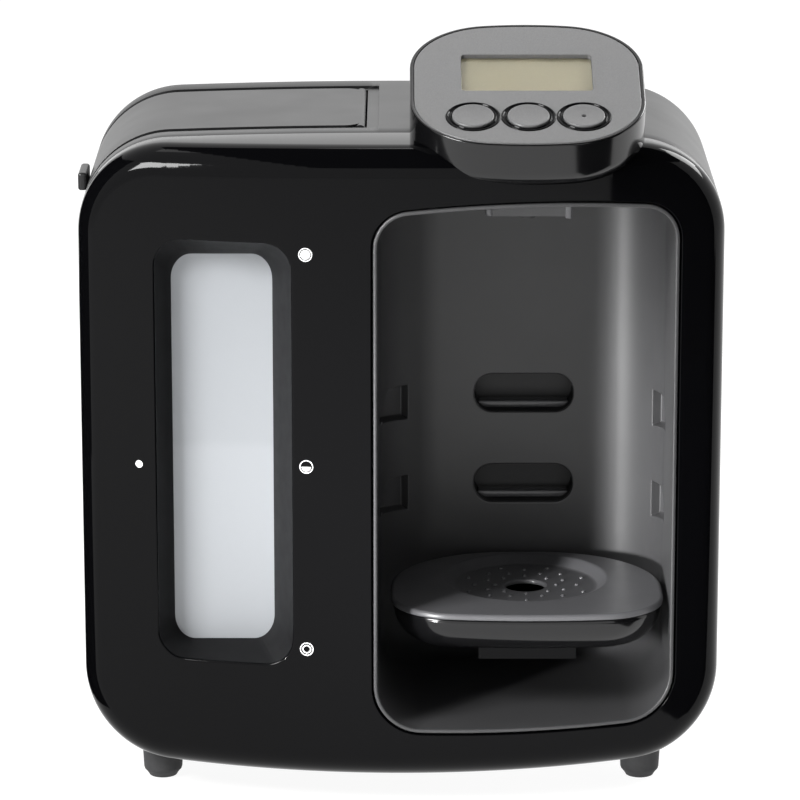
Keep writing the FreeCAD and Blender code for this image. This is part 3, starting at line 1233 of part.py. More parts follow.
def hoses():
    seat = s.spigot_seat
    pump_left = s.pump_x - s.volute_radius + s.volute_wall / 2 - seat
    pump_right = s.pump_x + s.volute_radius - s.volute_wall / 2 + seat
    tank_end = s.tank_right + seat
    keep("tank_hose", tube("tank_hose", [
        (tank_end, s.outlet_y, outlet_z), (s.hose_lane_x, s.outlet_y, outlet_z),
        (s.hose_lane_x, s.pump_y, pump_port_z), (pump_left, s.pump_y, pump_port_z)], s.hose_radius, s.hose_bore))
    keep("boiler_hose", tube("boiler_hose", [
        (pump_right, s.pump_y, pump_port_z), (s.boiler_x, s.boiler_y, pump_port_z),
        (s.boiler_x, s.boiler_y, boiler_foot + s.boiler_wall - seat)], s.hose_radius, s.hose_bore))
    keep("valve_hose", tube("valve_hose", [
        (s.boiler_x, s.boiler_y, boiler_head - s.boiler_wall + seat), (s.boiler_x, s.valve_y, s.valve_z),
        (valve_right - s.overlap / 2 + seat, s.valve_y, s.valve_z)], s.hose_radius, s.hose_bore))
    keep("nozzle_hose", tube("nozzle_hose", [
        (s.pour_x, s.valve_y, valve_high - s.overlap / 2 + seat), (s.pour_x, s.valve_y, s.hose_lane_z),
        (s.pour_x, s.pour_y, s.hose_lane_z), (s.pour_x, s.pour_y, neck_top)], s.hose_radius, s.hose_bore))


def power_board():
    low, high = s.power_low, s.power_low + s.power_height
    left, right = s.power_left, s.power_left + s.power_width
    keep("power_board", box("power_board", (left, right), (board_front_y, board_back), (low, high)))
    edge = s.standoff_radius * 2
    keep("board_screws", group("board_screws", *[
        rod(f"power_screw_{i}", "y", s.standoff_radius, board_front_y - s.screw_head, board_front_y, x=x, z=z)
        for i, (x, z) in enumerate(board_corners())]))
    keep("transformer", box("transformer", (left + edge * 2, left + edge * 2 + s.transformer_size),
                            (board_front_y - s.transformer_depth, board_front_y),
                            (low + edge * 2, low + edge * 2 + s.transformer_size)))
    relay = box("relay", (left + edge * 2, left + edge * 2 + s.relay_size),
                (board_front_y - s.relay_size, board_front_y),
                (high - edge * 2 - s.relay_size, high - edge * 2))
    capacitor = rod("capacitor", "y", s.relay_size / 3, board_front_y - s.relay_size, board_front_y,
                    x=right - s.relay_size, z=high - s.relay_size)
    keep("board_components", group("board_components", relay, capacitor))


def mains_inlet():
    x0, x1 = s.inlet_x, s.inlet_x + s.inlet_width
    z0, z1 = s.inlet_z, s.inlet_z + s.inlet_height
    flange = s.overlap * 1.5
    block = box("inlet_block", (x0, x1), (s.back_y - s.inlet_depth, s.back_y), (z0, z1))
    collar = box("inlet_collar", (x0 - flange, x1 + flange),
                 (housing_inner_y - s.shell_wall, housing_inner_y), (z0 - flange, z1 + flange))
    wall = s.shell_wall
    socket = wall_block("inlet_socket", x0 + wall, x1 - wall, z0 + wall, z1 - wall, s.inlet_height / 5,
                        s.back_y - s.inlet_depth + wall, s.back_y + s.overlap)
    pins = [rod(f"inlet_pin_{i}", "y", s.inlet_pin_radius, s.back_y - s.inlet_depth + wall / 2,
                s.back_y - s.overlap * 2, x=(x0 + x1) / 2 + s.inlet_pin_pitch / 2 * side, z=(z0 + z1) / 2)
            for i, side in enumerate((-1, 1))]
    shell = cut("inlet_shell", fuse("inlet_solid", block, collar), socket)
    keep("mains_inlet", fuse("mains_inlet", shell, *pins))


# ---------------------------------------------------------------------------------------------
# Build, check and write
# ---------------------------------------------------------------------------------------------

for build in (front_fascia, rear_housing, base_plate, feet, bay_liner, nozzle, water_tank, tank_cradle,
              filter_unit, lid_frame, tank_lid, tray_cover, drip_tray, stand_bracket, head_housing,
              control_face, buttons, chassis_plate, pump, boiler, valve, hoses, power_board, mains_inlet):
    build()
doc.recompute()

for item in doc.Objects:
    if "Invalid" in item.State or "Error" in item.State:
        raise RuntimeError(f"{item.Label} did not build: {item.State}")
os.makedirs("parts", exist_ok=True)
for item in PIECES:
    if item.Shape.isNull() or not item.Shape.isValid() or not item.Shape.Solids:
        raise RuntimeError(f"{item.Label} has no valid shape")
    item.Shape.exportStep(os.path.join("parts", f"{item.Label}.step"))
print(f"{len(PIECES)} pieces written")
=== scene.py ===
# %% [markdown]
# # A baby formula maker, finished in Blender
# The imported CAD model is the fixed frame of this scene: its bodies carry the joints, and its nodes have the
# real sizes. This script keeps that frame still. It rebuilds the visible mouldings as clean, smooth meshes,
# gives every piece a procedural finish, and sets up the studio.

# %% Load the frame
import json
import math

import bmesh
import bpy
from mathutils import Matrix, Vector

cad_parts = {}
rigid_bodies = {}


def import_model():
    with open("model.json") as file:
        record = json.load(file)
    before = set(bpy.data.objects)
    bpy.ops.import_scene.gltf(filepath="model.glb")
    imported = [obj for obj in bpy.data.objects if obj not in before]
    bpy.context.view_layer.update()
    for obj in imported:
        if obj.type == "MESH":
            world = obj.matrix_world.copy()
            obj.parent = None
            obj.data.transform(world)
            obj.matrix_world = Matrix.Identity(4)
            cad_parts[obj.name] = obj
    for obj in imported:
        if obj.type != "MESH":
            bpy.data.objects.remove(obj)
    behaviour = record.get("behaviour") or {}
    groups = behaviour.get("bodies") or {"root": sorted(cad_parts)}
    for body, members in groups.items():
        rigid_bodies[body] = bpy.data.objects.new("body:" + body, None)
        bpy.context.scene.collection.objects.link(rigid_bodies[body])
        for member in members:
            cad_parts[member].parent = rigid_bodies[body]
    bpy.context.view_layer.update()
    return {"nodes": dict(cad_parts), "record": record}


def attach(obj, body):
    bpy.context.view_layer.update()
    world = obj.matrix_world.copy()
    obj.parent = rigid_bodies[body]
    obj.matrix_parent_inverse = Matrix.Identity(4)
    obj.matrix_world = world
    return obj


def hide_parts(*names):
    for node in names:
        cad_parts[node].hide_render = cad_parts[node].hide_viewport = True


for leftover in list(bpy.data.objects):
    bpy.data.objects.remove(leftover)
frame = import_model()
scene = bpy.context.scene
scene.view_settings.view_transform = "Standard"

# %% [markdown]
# ## Small helpers for colours, nodes and objects
# Colours are chosen as sRGB hex values, the way a designer names them, but shaders calculate with linear
# light, so one function converts them. Every material is a small tree of nodes, and one function adds a
# node, sets its properties and plugs in its inputs, which keeps each recipe short enough to read.

# %% Colours, nodes and objects
def linear(hex_code):
    channels = [int(hex_code[i:i + 2], 16) / 255 for i in (0, 2, 4)]
    return [c / 12.92 if c <= 0.04045 else ((c + 0.055) / 1.055) ** 2.4 for c in channels] + [1.0]


def add_node(tree, kind, inputs=None, **settings):
    """Adds one node. inputs maps a socket's name or number to a value, or to another node's output socket."""
    node = tree.nodes.new(kind)
    for name, value in settings.items():
        setattr(node, name, value)
    for name, value in (inputs or {}).items():
        if isinstance(value, bpy.types.NodeSocket):
            tree.links.new(value, node.inputs[name])
        else:
            node.inputs[name].default_value = value
    return node


def add_object(name, data):
    thing = bpy.data.objects.new(name, data)
    scene.collection.objects.link(thing)
    return thing


# %% [markdown]
# ## Camera
# A product photographer stands well back with a long lens, so that the upright edges stay nearly parallel.
# Here the camera is 2 m away and looks down by 14.7 degrees. The lens is worked out from its focal length in
# pixels, for a picture 800 pixels wide.

# %% Camera
VIEW_PITCH = math.radians(14.7)
VIEW_DISTANCE = 2.0
VIEW_AIM = Vector((-0.0006, -0.039, 0.176855))
SENSOR_WIDTH, FOCAL_PIXELS, PICTURE_PIXELS = 36, 4571.43, 800

camera_data = bpy.data.cameras.new("studio_camera")
camera = add_object("studio_camera", camera_data)
camera_data.sensor_width = SENSOR_WIDTH
camera_data.lens = SENSOR_WIDTH * FOCAL_PIXELS / PICTURE_PIXELS
camera.location = VIEW_AIM + VIEW_DISTANCE * Vector((0, -math.cos(VIEW_PITCH), math.sin(VIEW_PITCH)))
camera.rotation_euler = (math.pi / 2 - VIEW_PITCH, 0, 0)
scene.camera = camera
print("lens", round(camera_data.lens, 1), "mm")

# %% [markdown]
# ## Studio
# Gloss black shows little of its own colour: what the eye reads as its shape is the room mirrored in it. So
# the room is a plain white cove, which draws pale lines along every rounded edge. It lights the machine more
# from behind and above than from the front, so that the flat front stays black. One softbox at the left puts
# a highlight on the upper left corner; a large one overhead models the tops, one behind lifts the right
# shoulder, and a spot with a narrow upright beam reaches into the bay and lights its far side.

# %% World and floor
world = bpy.data.worlds.new("studio_room")
scene.world = world
world.use_nodes = True
sky = world.node_tree
sky.nodes.clear()
direction = add_node(sky, "ShaderNodeTexCoord").outputs["Generated"]
axes = add_node(sky, "ShaderNodeSeparateXYZ", {0: direction})
depth = add_node(sky, "ShaderNodeMapRange", {"Value": axes.outputs["Y"], "From Min": -0.8, "From Max": 0.25,
                                             "To Min": 0.22, "To Max": 0.8}, interpolation_type="SMOOTHSTEP")


def white_rays(tree):
    """1 for the rays that show a backdrop itself: from the camera, in a reflection, or through glass."""
    ray = add_node(tree, "ShaderNodeLightPath")
    shown = add_node(tree, "ShaderNodeMath",
                     {0: ray.outputs["Is Camera Ray"], 1: ray.outputs["Is Glossy Ray"]}, operation="MAXIMUM")
    return add_node(tree, "ShaderNodeMath", {0: shown.outputs[0], 1: ray.outputs["Is Transmission Ray"]},
                    operation="MAXIMUM")


seen = white_rays(sky)
level = add_node(sky, "ShaderNodeMath", {0: depth.outputs["Result"], 1: seen.outputs[0]}, operation="MAXIMUM")
room = add_node(sky, "ShaderNodeBackground", {"Color": (1, 1, 1, 1), "Strength": level.outputs[0]})
add_node(sky, "ShaderNodeOutputWorld", {"Surface": room.outputs[0]})

floor_mesh = bpy.data.meshes.new("studio_floor")
sweep = bmesh.new()
bmesh.ops.create_grid(sweep, x_segments=1, y_segments=1, size=3.0)
sweep.to_mesh(floor_mesh)
sweep.free()
studio_floor = add_object("studio_floor", floor_mesh)

paper = bpy.data.materials.new("matt_white_paper")
paper.use_nodes = True
paper_tree = paper.node_tree
paper_shader = paper_tree.nodes["Principled BSDF"]
paper_shader.inputs["Base Color"].default_value = linear("FCFCFC")
paper_shader.inputs["Roughness"].default_value = 0.9
paper_shader.inputs["Specular IOR Level"].default_value = 0.1
paper_glow = add_node(paper_tree, "ShaderNodeEmission", {"Color": (1, 1, 1, 1), "Strength": 1.16})
paper_share = add_node(paper_tree, "ShaderNodeMath", {0: white_rays(paper_tree).outputs[0], 1: 0.8},
                       operation="MULTIPLY")
paper_mix = add_node(paper_tree, "ShaderNodeMixShader",
                     {0: paper_share.outputs[0], 1: paper_shader.outputs[0], 2: paper_glow.outputs[0]})
paper_tree.links.new(paper_mix.outputs[0], paper_tree.nodes["Material Output"].inputs["Surface"])
floor_mesh.materials.append(paper)


def hang_lamp(name, kind, place, aim, watts):
    lamp_data = bpy.data.lights.new(name, kind)
    lamp_data.energy = watts
    lamp = add_object(name, lamp_data)
    lamp.location = place
    lamp.rotation_euler = (Vector(aim) - Vector(place)).to_track_quat("-Z", "Y").to_euler()
    return lamp


def soft_lamp(name, place, aim, width, height, watts):
    """A softbox: a large rectangle of light turned towards a point."""
    lamp = hang_lamp(name, "AREA", place, aim, watts)
    lamp.data.shape = "RECTANGLE"
    lamp.data.size = width
    lamp.data.size_y = height


soft_lamp("top_softbox", (0.1, 0.1, 1.5), (0, 0, 0.2), 1.2, 1.0, 8)
soft_lamp("left_softbox", (-0.98, -0.86, 0.95), (0.0, 0, 0.18), 0.5, 0.4, 30)
soft_lamp("back_softbox", (0.95, 0.75, 0.95), (0.08, 0, 0.25), 0.6, 0.6, 12)

bay_spot = hang_lamp("bay_spot", "SPOT", (-0.82, -1.0, 0.24), (0.112, 0.0, 0.13), 235)
bay_spot.data.spot_size = math.radians(12)
bay_spot.data.spot_blend = 0.7
bay_spot.data.shadow_soft_size = 0.08
bay_spot.scale = (0.5, 1.0, 1.0)

# %% [markdown]
# ### Black flags
# A photographer hangs black cards just outside the picture, so that the rounded edges of a gloss black thing
# mirror them and stay dark. Here one hangs at the left, one at the right in front and one overhead, and two
# lie on the floor. They are seen only in reflections and throw no shadow.

# %% Black cards
card_black = bpy.data.materials.new("black_felt")
card_black.use_nodes = True
felt = card_black.node_tree.nodes["Principled BSDF"]
felt.inputs["Base Color"].default_value = linear("020202")
felt.inputs["Roughness"].default_value = 1.0
felt.inputs["Specular IOR Level"].default_value = 0.0


def hang_card(name, corners):
    bm = bmesh.new()
    verts = [bm.verts.new(corner) for corner in corners]
    bmesh.ops.contextual_create(bm, geom=verts)
    card_mesh = bpy.data.meshes.new(name)
    bm.to_mesh(card_mesh)
    bm.free()
    card_mesh.materials.append(card_black)
    card = add_object(name, card_mesh)
    card.visible_camera = False
    card.visible_diffuse = False
    card.visible_transmission = False
    card.visible_shadow = False


hang_card("left_flag", [(-0.62, -0.14, 0.02), (-0.62, 0.85, 0.02), (-0.62, 0.85, 0.75), (-0.62, -0.14, 0.75)])
hang_card("right_flag", [(0.62, -0.95, 0.02), (0.62, -0.15, 0.02), (0.62, -0.15, 0.75), (0.62, -0.95, 0.75)])
hang_card("top_flag", [(-0.3, -1.1, 0.95), (0.9, -1.1, 0.95), (0.9, 0.35, 0.95), (-0.3, 0.35, 0.95)])
hang_card("left_floor_flag", [(-1.3, -0.14, 0.002), (-0.19, -0.08, 0.002), (-0.19, 0.9, 0.002),
                              (-1.3, 0.9, 0.002)])
hang_card("right_floor_flag", [(0.19, -0.95, 0.002), (1.2, -0.95, 0.002), (1.2, -0.1, 0.002),
                               (0.19, -0.1, 0.002)])

# %% [markdown]
# ## Finishes
# The machine is almost all moulded plastic, and what tells its parts apart is how each mould was finished:
# mirror-polished for the front, stoned satin for the rear casing, spark-eroded grain inside the bay. Grain
# is drawn in real millimetres: Object coordinates are in metres, so a grain of 0.4 mm is a noise whose
# scale is 1 / 0.0004. Bump depths are hundredths of a millimetre, as they are on a real mould.

# %% Start of a finish
def per_mm(size):
    """The texture scale at which one step of a pattern measures size millimetres."""
    return 1000 / size


class Finish:
    """A named material with its shader, and the few ways in which moulded plastic varies."""

    def __init__(self, name, hex_code, roughness, ior=1.5):
        self.material = bpy.data.materials.new(name)
        self.material.use_nodes = True
        self.tree = self.material.node_tree
        self.shader = self.tree.nodes["Principled BSDF"]
        self.shader.inputs["Base Color"].default_value = linear(hex_code)
        self.shader.inputs["Roughness"].default_value = roughness
        self.shader.inputs["IOR"].default_value = ior
        self.place = add_node(self.tree, "ShaderNodeTexCoord").outputs["Object"]

    def noise(self, mm, detail):
        """A soft random pattern with steps of mm, as a value."""
        return add_node(self.tree, "ShaderNodeTexNoise", {"Vector": self.place, "Scale": per_mm(mm),
                                                          "Detail": detail}).outputs[0]

    def pits(self, mm):
        """A pattern of small round hollows, as a value."""
        return add_node(self.tree, "ShaderNodeTexVoronoi", {"Vector": self.place,
                                                            "Scale": per_mm(mm)}).outputs["Distance"]

    def vary_colour(self, pattern, low_hex, high_hex):
        tone = add_node(self.tree, "ShaderNodeMix",
                        {"Factor": pattern, 6: linear(low_hex), 7: linear(high_hex)}, data_type="RGBA")
        self.tree.links.new(tone.outputs[2], self.shader.inputs["Base Color"])

    def vary_roughness(self, pattern, low, high):
        spread = add_node(self.tree, "ShaderNodeMapRange", {"Value": pattern, "To Min": low, "To Max": high})
        self.tree.links.new(spread.outputs["Result"], self.shader.inputs["Roughness"])

    def emboss(self, pattern, depth_mm, strength=1.0):
        bump = add_node(self.tree, "ShaderNodeBump", {"Height": pattern, "Distance": depth_mm * 0.001,
                                                      "Strength": strength})
        self.tree.links.new(bump.outputs[0], self.shader.inputs["Normal"])


# %% [markdown]
# ### Polished black ABS
# Gloss black ABS from a mirror-polished mould is a nearly black body under a clear, smooth skin. No real
# moulding is quite flat: over a few centimetres the surface sinks and swells by some hundredths of a
# millimetre, and that makes the reflections wander a little. A slow noise in the bump does it, and a finer
# one varies the roughness, as fingers and dust do. The front's index of refraction, 1.22, is lower than the
# 1.5 of real ABS: it is a choice of look, so that the white room shows only weakly in the edges. The head
# and the drip tray keep the real index, under a slightly hazier lacquer, and mirror more strongly.

# %% Polished black ABS
def polished(name, hex_code, ior, haze=0.045):
    finish = Finish(name, hex_code, haze, ior)
    finish.emboss(finish.noise(38, 1.0), 0.06)
    finish.vary_roughness(finish.noise(12, 4.0), haze, haze + 0.04)
    return finish.material


gloss_black = polished("polished_black_abs", "050506", 1.22)
lacquered_black = polished("lacquered_black_abs", "0C0C0D", 1.5, haze=0.11)

# %% [markdown]
# ### Satin black ABS
# The rear casing and the lid come from a stoned mould. The light still glides over them, but blurred, so
# their tops read as mid grey under a bright room.

# %% Satin black ABS
satin = Finish("satin_black_abs", "161617", 0.32)
satin.emboss(satin.noise(0.9, 3.0), 0.012)
satin.vary_roughness(satin.noise(30, 2.0), 0.27, 0.36)
satin_black = satin.material

# %% Stoned black ABS of the window's recess
stoned = Finish("stoned_black_abs", "131314", 0.5, 1.2)
stoned.vary_roughness(stoned.noise(6, 3.0), 0.42, 0.55)
stoned_black = stoned.material

# %% [markdown]
# ### Spark-eroded grey plastic
# The bay is washed often, so it has a hard, fine grain that hides scratches: thousands of small pits that
# scatter the light and leave a wide, soft shine. The real pits are 0.2 mm; they are drawn at 0.5 mm so that
# they still show.

# %% Spark-eroded grey plastic
eroded = Finish("spark_eroded_grey_abs", "3D3D3E", 0.4)
eroded.emboss(eroded.pits(0.5), 0.02, 0.6)
eroded.vary_colour(eroded.noise(25, 3.0), "39393A", "424243")
bay_grey = eroded.material

# %% Moulded grey ABS of the stand
moulded = Finish("moulded_grey_abs", "4E4E50", 0.34)
moulded.emboss(moulded.pits(0.6), 0.015, 0.6)
moulded.vary_roughness(moulded.noise(18, 4.0), 0.28, 0.4)
stand_grey = moulded.material

# A lighter, smoother copy of the grey plastic for the slot ledges, the nozzle clips and the dish pips. Its
# smoothness is polish; its lighter colour is painted highlight, so that these small parts catch the light.
highlight_grey_finish = Finish("painted_highlight_grey_abs", "5A5A5C", 0.14)
highlight_grey_finish.vary_roughness(highlight_grey_finish.noise(4, 2.0), 0.1, 0.2)
polished_grey_painted_highlight = highlight_grey_finish.material

# %% [markdown]
# ### Rubber, steel and the small technical plastics
# The feet are moulded rubber, dull with a faint bloom. The hidden parts have the finishes that such parts
# have: turned and brushed steel, brass, silicone hose, nylon and a green circuit board.

# %% Rubber
rubber = Finish("moulded_rubber", "2E2E2F", 0.75, 1.52)
rubber.vary_colour(rubber.noise(2.5, 5.0), "282829", "383839")
foot_rubber = rubber.material

# %% Technical plastics and metals
def speckled(name, low_hex, high_hex, roughness, mm, ior=1.5, metallic=0.0, depth_mm=0.01):
    """A finish whose tone and surface vary on the scale of mm."""
    finish = Finish(name, low_hex, roughness, ior)
    finish.shader.inputs["Metallic"].default_value = metallic
    specks = finish.noise(mm, 4.0)
    finish.vary_colour(specks, low_hex, high_hex)
    finish.emboss(specks, depth_mm)
    return finish.material


black_plastic = speckled("black_nylon", "151516", "1F1F20", 0.5, 1.5)
white_print = speckled("white_pad_print", "E9E9E9", "F2F2F2", 0.5, 0.4, depth_mm=0.003)

# %% [markdown]
# ### Painted control face
# The face plate is ABS with a silver-grey paint: fine metal flakes in a matt lacquer. The flakes are about
# 0.1 mm; they are drawn at 0.35 mm so that the face keeps a visible grain.

# %% Silver-grey paint
paint = Finish("silver_grey_paint", "747474", 0.42)
paint.shader.inputs["Metallic"].default_value = 0.25
flakes = paint.noise(0.35, 2.0)
paint.vary_colour(flakes, "505051", "838383")
paint.emboss(flakes, 0.03, 0.7)
face_silver = paint.material

# %% [markdown]
# ### Display
# A reflective liquid-crystal display is a pale beige film behind glass. Here it is off, so the film is
# blank. The glass in front is nearly invisible but for its reflection.

# %% Display film and glass
film = Finish("reflective_lcd_film", "D4CBAE", 0.45)
film.vary_colour(film.noise(0.8, 3.0), "CFC6A9", "D9D0B3")

glass = Finish("display_glass", "F4F6F4", 0.03, 1.45)
glass.shader.inputs["Transmission Weight"].default_value = 1.0
glass.vary_roughness(glass.noise(9, 3.0), 0.01, 0.06)

# %% [markdown]
# ### Frosted window and water tank
# The window is a frosted pane with the tank and its water close behind it. Frosting scatters what lies
# behind, so the water shows only as a level: below it the pane is a little lighter, above it a little
# darker, and the line between is soft. That is painted by height in the pane's own colour.

# %% Frosted pane
WATER_LEVEL, WATER_BLUR = 0.160, 0.003
pane = Finish("frosted_polycarbonate", "CDD2D7", 0.38)
height = add_node(pane.tree, "ShaderNodeSeparateXYZ", {0: pane.place}).outputs["Z"]
ripple = add_node(pane.tree, "ShaderNodeMath", {0: pane.noise(20, 2.0), 1: 0.002, 2: height},
                  operation="MULTIPLY_ADD")
water = add_node(pane.tree, "ShaderNodeMapRange",
                 {"Value": ripple.outputs[0], "From Min": WATER_LEVEL - WATER_BLUR,
                  "From Max": WATER_LEVEL + WATER_BLUR}, interpolation_type="SMOOTHSTEP")
pane.vary_colour(water.outputs["Result"], "A4A7AB", "9EA1A5")
pane.emboss(pane.noise(0.4, 2.0), 0.01, 0.5)

# %% [markdown]
# ### The frame's own pieces take their finish
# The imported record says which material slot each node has, so a table from slot to finish dresses every
# node in one pass. Pieces that are rebuilt below simply replace theirs.

# %% Dress the frame
finishes = {
    "satin_black": satin_black, "bay_grey": bay_grey, "stand_grey": stand_grey,
    "foot_rubber": foot_rubber, "frosted": pane.material, "face_silver": face_silver,
    "lcd_glass": glass.material, "lcd": film.material, "gloss_black": gloss_black,
    "black_plastic": black_plastic,
    "tank_clear": speckled("milky_polypropylene", "C4CAD0", "D3D8DC", 0.35, 12),
    "circuit_board": speckled("green_epoxy_board", "0F4A2A", "16613A", 0.35, 1.2),
    "white_plastic": speckled("white_nylon", "DADAD6", "E8E8E4", 0.45, 3),
    "silicone": speckled("translucent_silicone_hose", "C9CCCB", "D9DCDA", 0.4, 4, ior=1.41),
    "brass": speckled("turned_brass", "B08D4A", "C7A25C", 0.3, 0.8, metallic=1.0),
    "steel": speckled("brushed_stainless_steel", "A9ABAD", "C2C4C6", 0.28, 0.7, metallic=1.0)}
for part in frame["record"]["subparts"]:
    dressed = frame["nodes"][part["node"]]
    for slot in dressed.material_slots:
        slot.material = finishes[part["material_slot"]]
print(len(frame["nodes"]), "nodes dressed")

# %% [markdown]
# ## Drawing outlines by spinning a point
# Nearly every moulding here starts as the same kind of outline: upright straight sides, round corners, and
# top and bottom edges that swell slightly. A drawing program would join arcs; bmesh has an operator that
# does it, spin, which sweeps a vertex about a centre and leaves a chain of edges behind. Working in
# millimetres keeps the sizes readable, and each mesh is turned into metres when its piece is finished.

# %% Outlines in the plane of the front
def sweep_point(bm, vert, centre, angle, steps):
    """Carries a vertex anticlockwise (seen from the front) about a centre, leaving edges behind it."""
    swept = bmesh.ops.spin(bm, geom=[vert], cent=centre, axis=(0, -1, 0), angle=angle, steps=steps,
                           use_merge=False, use_duplicate=False)
    return swept["geom_last"][0]


STRAIGHT = (1e5, 1e5)


def draw_outline(bm, left, right, low, high, radii, bows, y=0.0, corner_steps=14, edge_steps=24):
    """A closed loop with straight sides and bowed low and high edges. radii and bows are (low, high)."""
    known = set(bm.edges)
    half = (right - left) / 2
    middle = (left + right) / 2
    first = bm.verts.new((right, y, 0))
    vert = first
    for sign, edge, radius, bow in ((1, high, radii[1], bows[1]), (-1, low, radii[0], bows[0])):
        across = half - radius
        along = math.sqrt((bow - radius) ** 2 - across ** 2)
        spread = math.atan2(across, along)
        centre = Vector((middle, y, edge - sign * bow))
        near = centre + Vector((sign * across, 0, sign * along))
        far = centre + Vector((-sign * across, 0, sign * along))
        foot = Vector((middle + sign * half, y, near.z))
        if vert is first:
            vert.co = foot
        else:
            reached = bmesh.ops.extrude_vert_indiv(bm, verts=[vert])
            vert = reached["verts"][0]
            vert.co = foot
        turn = math.pi / 2 - spread
        vert = sweep_point(bm, vert, near, turn, corner_steps)
        vert = sweep_point(bm, vert, centre, 2 * spread, edge_steps)
        vert = sweep_point(bm, vert, far, turn, corner_steps)
    bm.edges.new((vert, first))
    return [e for e in bm.edges if e not in known]


def draw_inset(bm, box, inset, radii, bows, **settings):
    """The outline of a box (left, right, low, high), moved in by inset, or out where inset is negative."""
    left, right, low, high = box
    if bows is not STRAIGHT:
        bows = [bow - inset for bow in bows]
    return draw_outline(bm, left + inset, right - inset, low + inset, high - inset,
                        [radius - inset for radius in radii], bows, **settings)


def draw_circle(bm, x, z, radius, y=0.0, steps=48):
    known = set(bm.edges)
    bmesh.ops.create_circle(bm, segments=steps, radius=radius,
                            matrix=Matrix.Translation((x, y, z)) @ Matrix.Rotation(math.pi / 2, 4, "X"))
    return [e for e in bm.edges if e not in known]


def fill_between(bm, loops):
    """One flat sheet inside the first loop, with a hole at each of the others."""
    edges = [e for loop in loops for e in loop]
    made = bmesh.ops.triangle_fill(bm, edges=edges, use_beauty=True, normal=(0, -1, 0))
    return parts_of(made["geom"], bmesh.types.BMFace)


def parts_of(geometry, kind):
    return [item for item in geometry if isinstance(item, kind)]


def extrude_loop(bm, edges, offset):
    """Pulls a loop of edges out into a wall and returns the wall's new far edges."""
    made = bmesh.ops.extrude_edge_only(bm, edges=edges)
    verts = parts_of(made["geom"], bmesh.types.BMVert)
    far = [e for e in parts_of(made["geom"], bmesh.types.BMEdge) if set(e.verts) <= set(verts)]
    bmesh.ops.translate(bm, verts=verts, vec=offset)
    return far


def verts_of(edges):
    return list({v for e in edges for v in e.verts})


def roll_loop(bm, edges, bases, steps, place):
    """Extrudes a loop several times. place(base, share) says where a point is after that share of the way."""
    for step in range(1, steps + 1):
        edges = extrude_loop(bm, edges, (0, 0, 0))
        carried = {}
        for vert in verts_of(edges):
            behind = next(e.other_vert(vert) for e in vert.link_edges if e.other_vert(vert) in bases)
            carried[vert] = bases[behind]
        for vert, base in carried.items():
            vert.co = place(base, step / steps)
        bases = carried
    return edges, bases


def cut_along(bm, co, no, faces=None, clear_outer=False):
    """Cuts the whole mesh, or only some faces, along a plane. clear_outer drops what lies past it."""
    touched = bm.verts[:] + bm.edges[:] + bm.faces[:]
    if faces is not None:
        touched = faces + list({e for f in faces for e in f.edges})
        touched += list({v for f in faces for v in f.verts})
    return bmesh.ops.bisect_plane(bm, geom=touched, dist=1e-5, plane_co=co, plane_no=no,
                                  clear_outer=clear_outer)["geom_cut"]


def slice_away(bm, co, no):
    """Drops the side of a plane that its normal points to, and closes the cut."""
    rim = parts_of(cut_along(bm, co, no, clear_outer=True), bmesh.types.BMEdge)
    bmesh.ops.contextual_create(bm, geom=rim)


def round_edges(bm, edges, width, segments=3):
    bmesh.ops.bevel(bm, geom=edges, offset=width, offset_type="OFFSET", segments=segments, profile=0.5,
                    affect="EDGES", material=-1)


def add_box(bm, size, middle):
    box = bmesh.ops.create_cube(bm, size=1)["verts"]
    bmesh.ops.scale(bm, verts=box, vec=size)
    bmesh.ops.translate(bm, verts=box, vec=middle)


# %% [markdown]
# ## Finishing a piece
# A mesh becomes a piece of the machine in one place: it is scaled from millimetres to metres, its faces are
# turned outwards, its sharp edges are marked by angle, and it rides on the CAD body that carries it. The
# Weighted Normal modifier then lets the large flat faces decide the shading, so that small rounded edges
# catch the light like polished plastic and the flats stay calm. An open shell also gets a wall, and the lid
# gets soft edges.

# %% From a mesh in millimetres to a finished piece
def thicken(piece, wall, even):
    """Gives an open shell its wall, in mm, behind its outer face."""
    shell = piece.modifiers.new("wall", "SOLIDIFY")
    shell.thickness = wall * 0.001
    shell.offset = -1
    shell.use_even_offset = even


def soften(piece, width, angle=50):
    """Rounds, by a width in mm, the edges that are sharper than an angle."""
    edge = piece.modifiers.new("rounded_edges", "BEVEL")
    edge.width = width * 0.001
    edge.segments = 3
    edge.profile = 0.5
    edge.limit_method = "ANGLE"
    edge.angle_limit = math.radians(angle)
    edge.miter_outer = "MITER_ARC"


def even_shading(piece):
    normals = piece.modifiers.new("even_shading", "WEIGHTED_NORMAL")
    normals.keep_sharp = True
    normals.weight = 60


def finish_piece(bm, name, material, body, replaces=(), sharp=50, facing=None, wall=0.0,
                 even_wall=True, soft=0.0, calm=True):
    """facing is (point, direction) in mm for an open shell: the face nearest the point turns that way."""
    bmesh.ops.remove_doubles(bm, verts=bm.verts[:], dist=0.0005)
    bmesh.ops.recalc_face_normals(bm, faces=bm.faces[:])
    if facing:
        point, towards = Vector(facing[0]), Vector(facing[1])
        nearest = min(bm.faces, key=lambda f: (f.calc_center_median() - point).length)
        if nearest.normal.dot(towards) < 0:
            bmesh.ops.reverse_faces(bm, faces=bm.faces[:])
    for face in bm.faces:
        face.smooth = True
    for edge in bm.edges:
        if len(edge.link_faces) == 2 and edge.calc_face_angle(0) > math.radians(sharp):
            edge.smooth = False
    bmesh.ops.scale(bm, vec=(0.001, 0.001, 0.001), verts=bm.verts[:])
    mesh = bpy.data.meshes.new(name)
    bm.to_mesh(mesh)
    bm.free()
    mesh.materials.append(material)
    piece = add_object(name, mesh)
    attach(piece, body)
    if replaces:
        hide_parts(*replaces)
    if wall:
        thicken(piece, wall, even_wall)
    if soft:
        soften(piece, soft)
    if calm:
        even_shading(piece)
    print(name, len(mesh.polygons), "faces")
    return piece


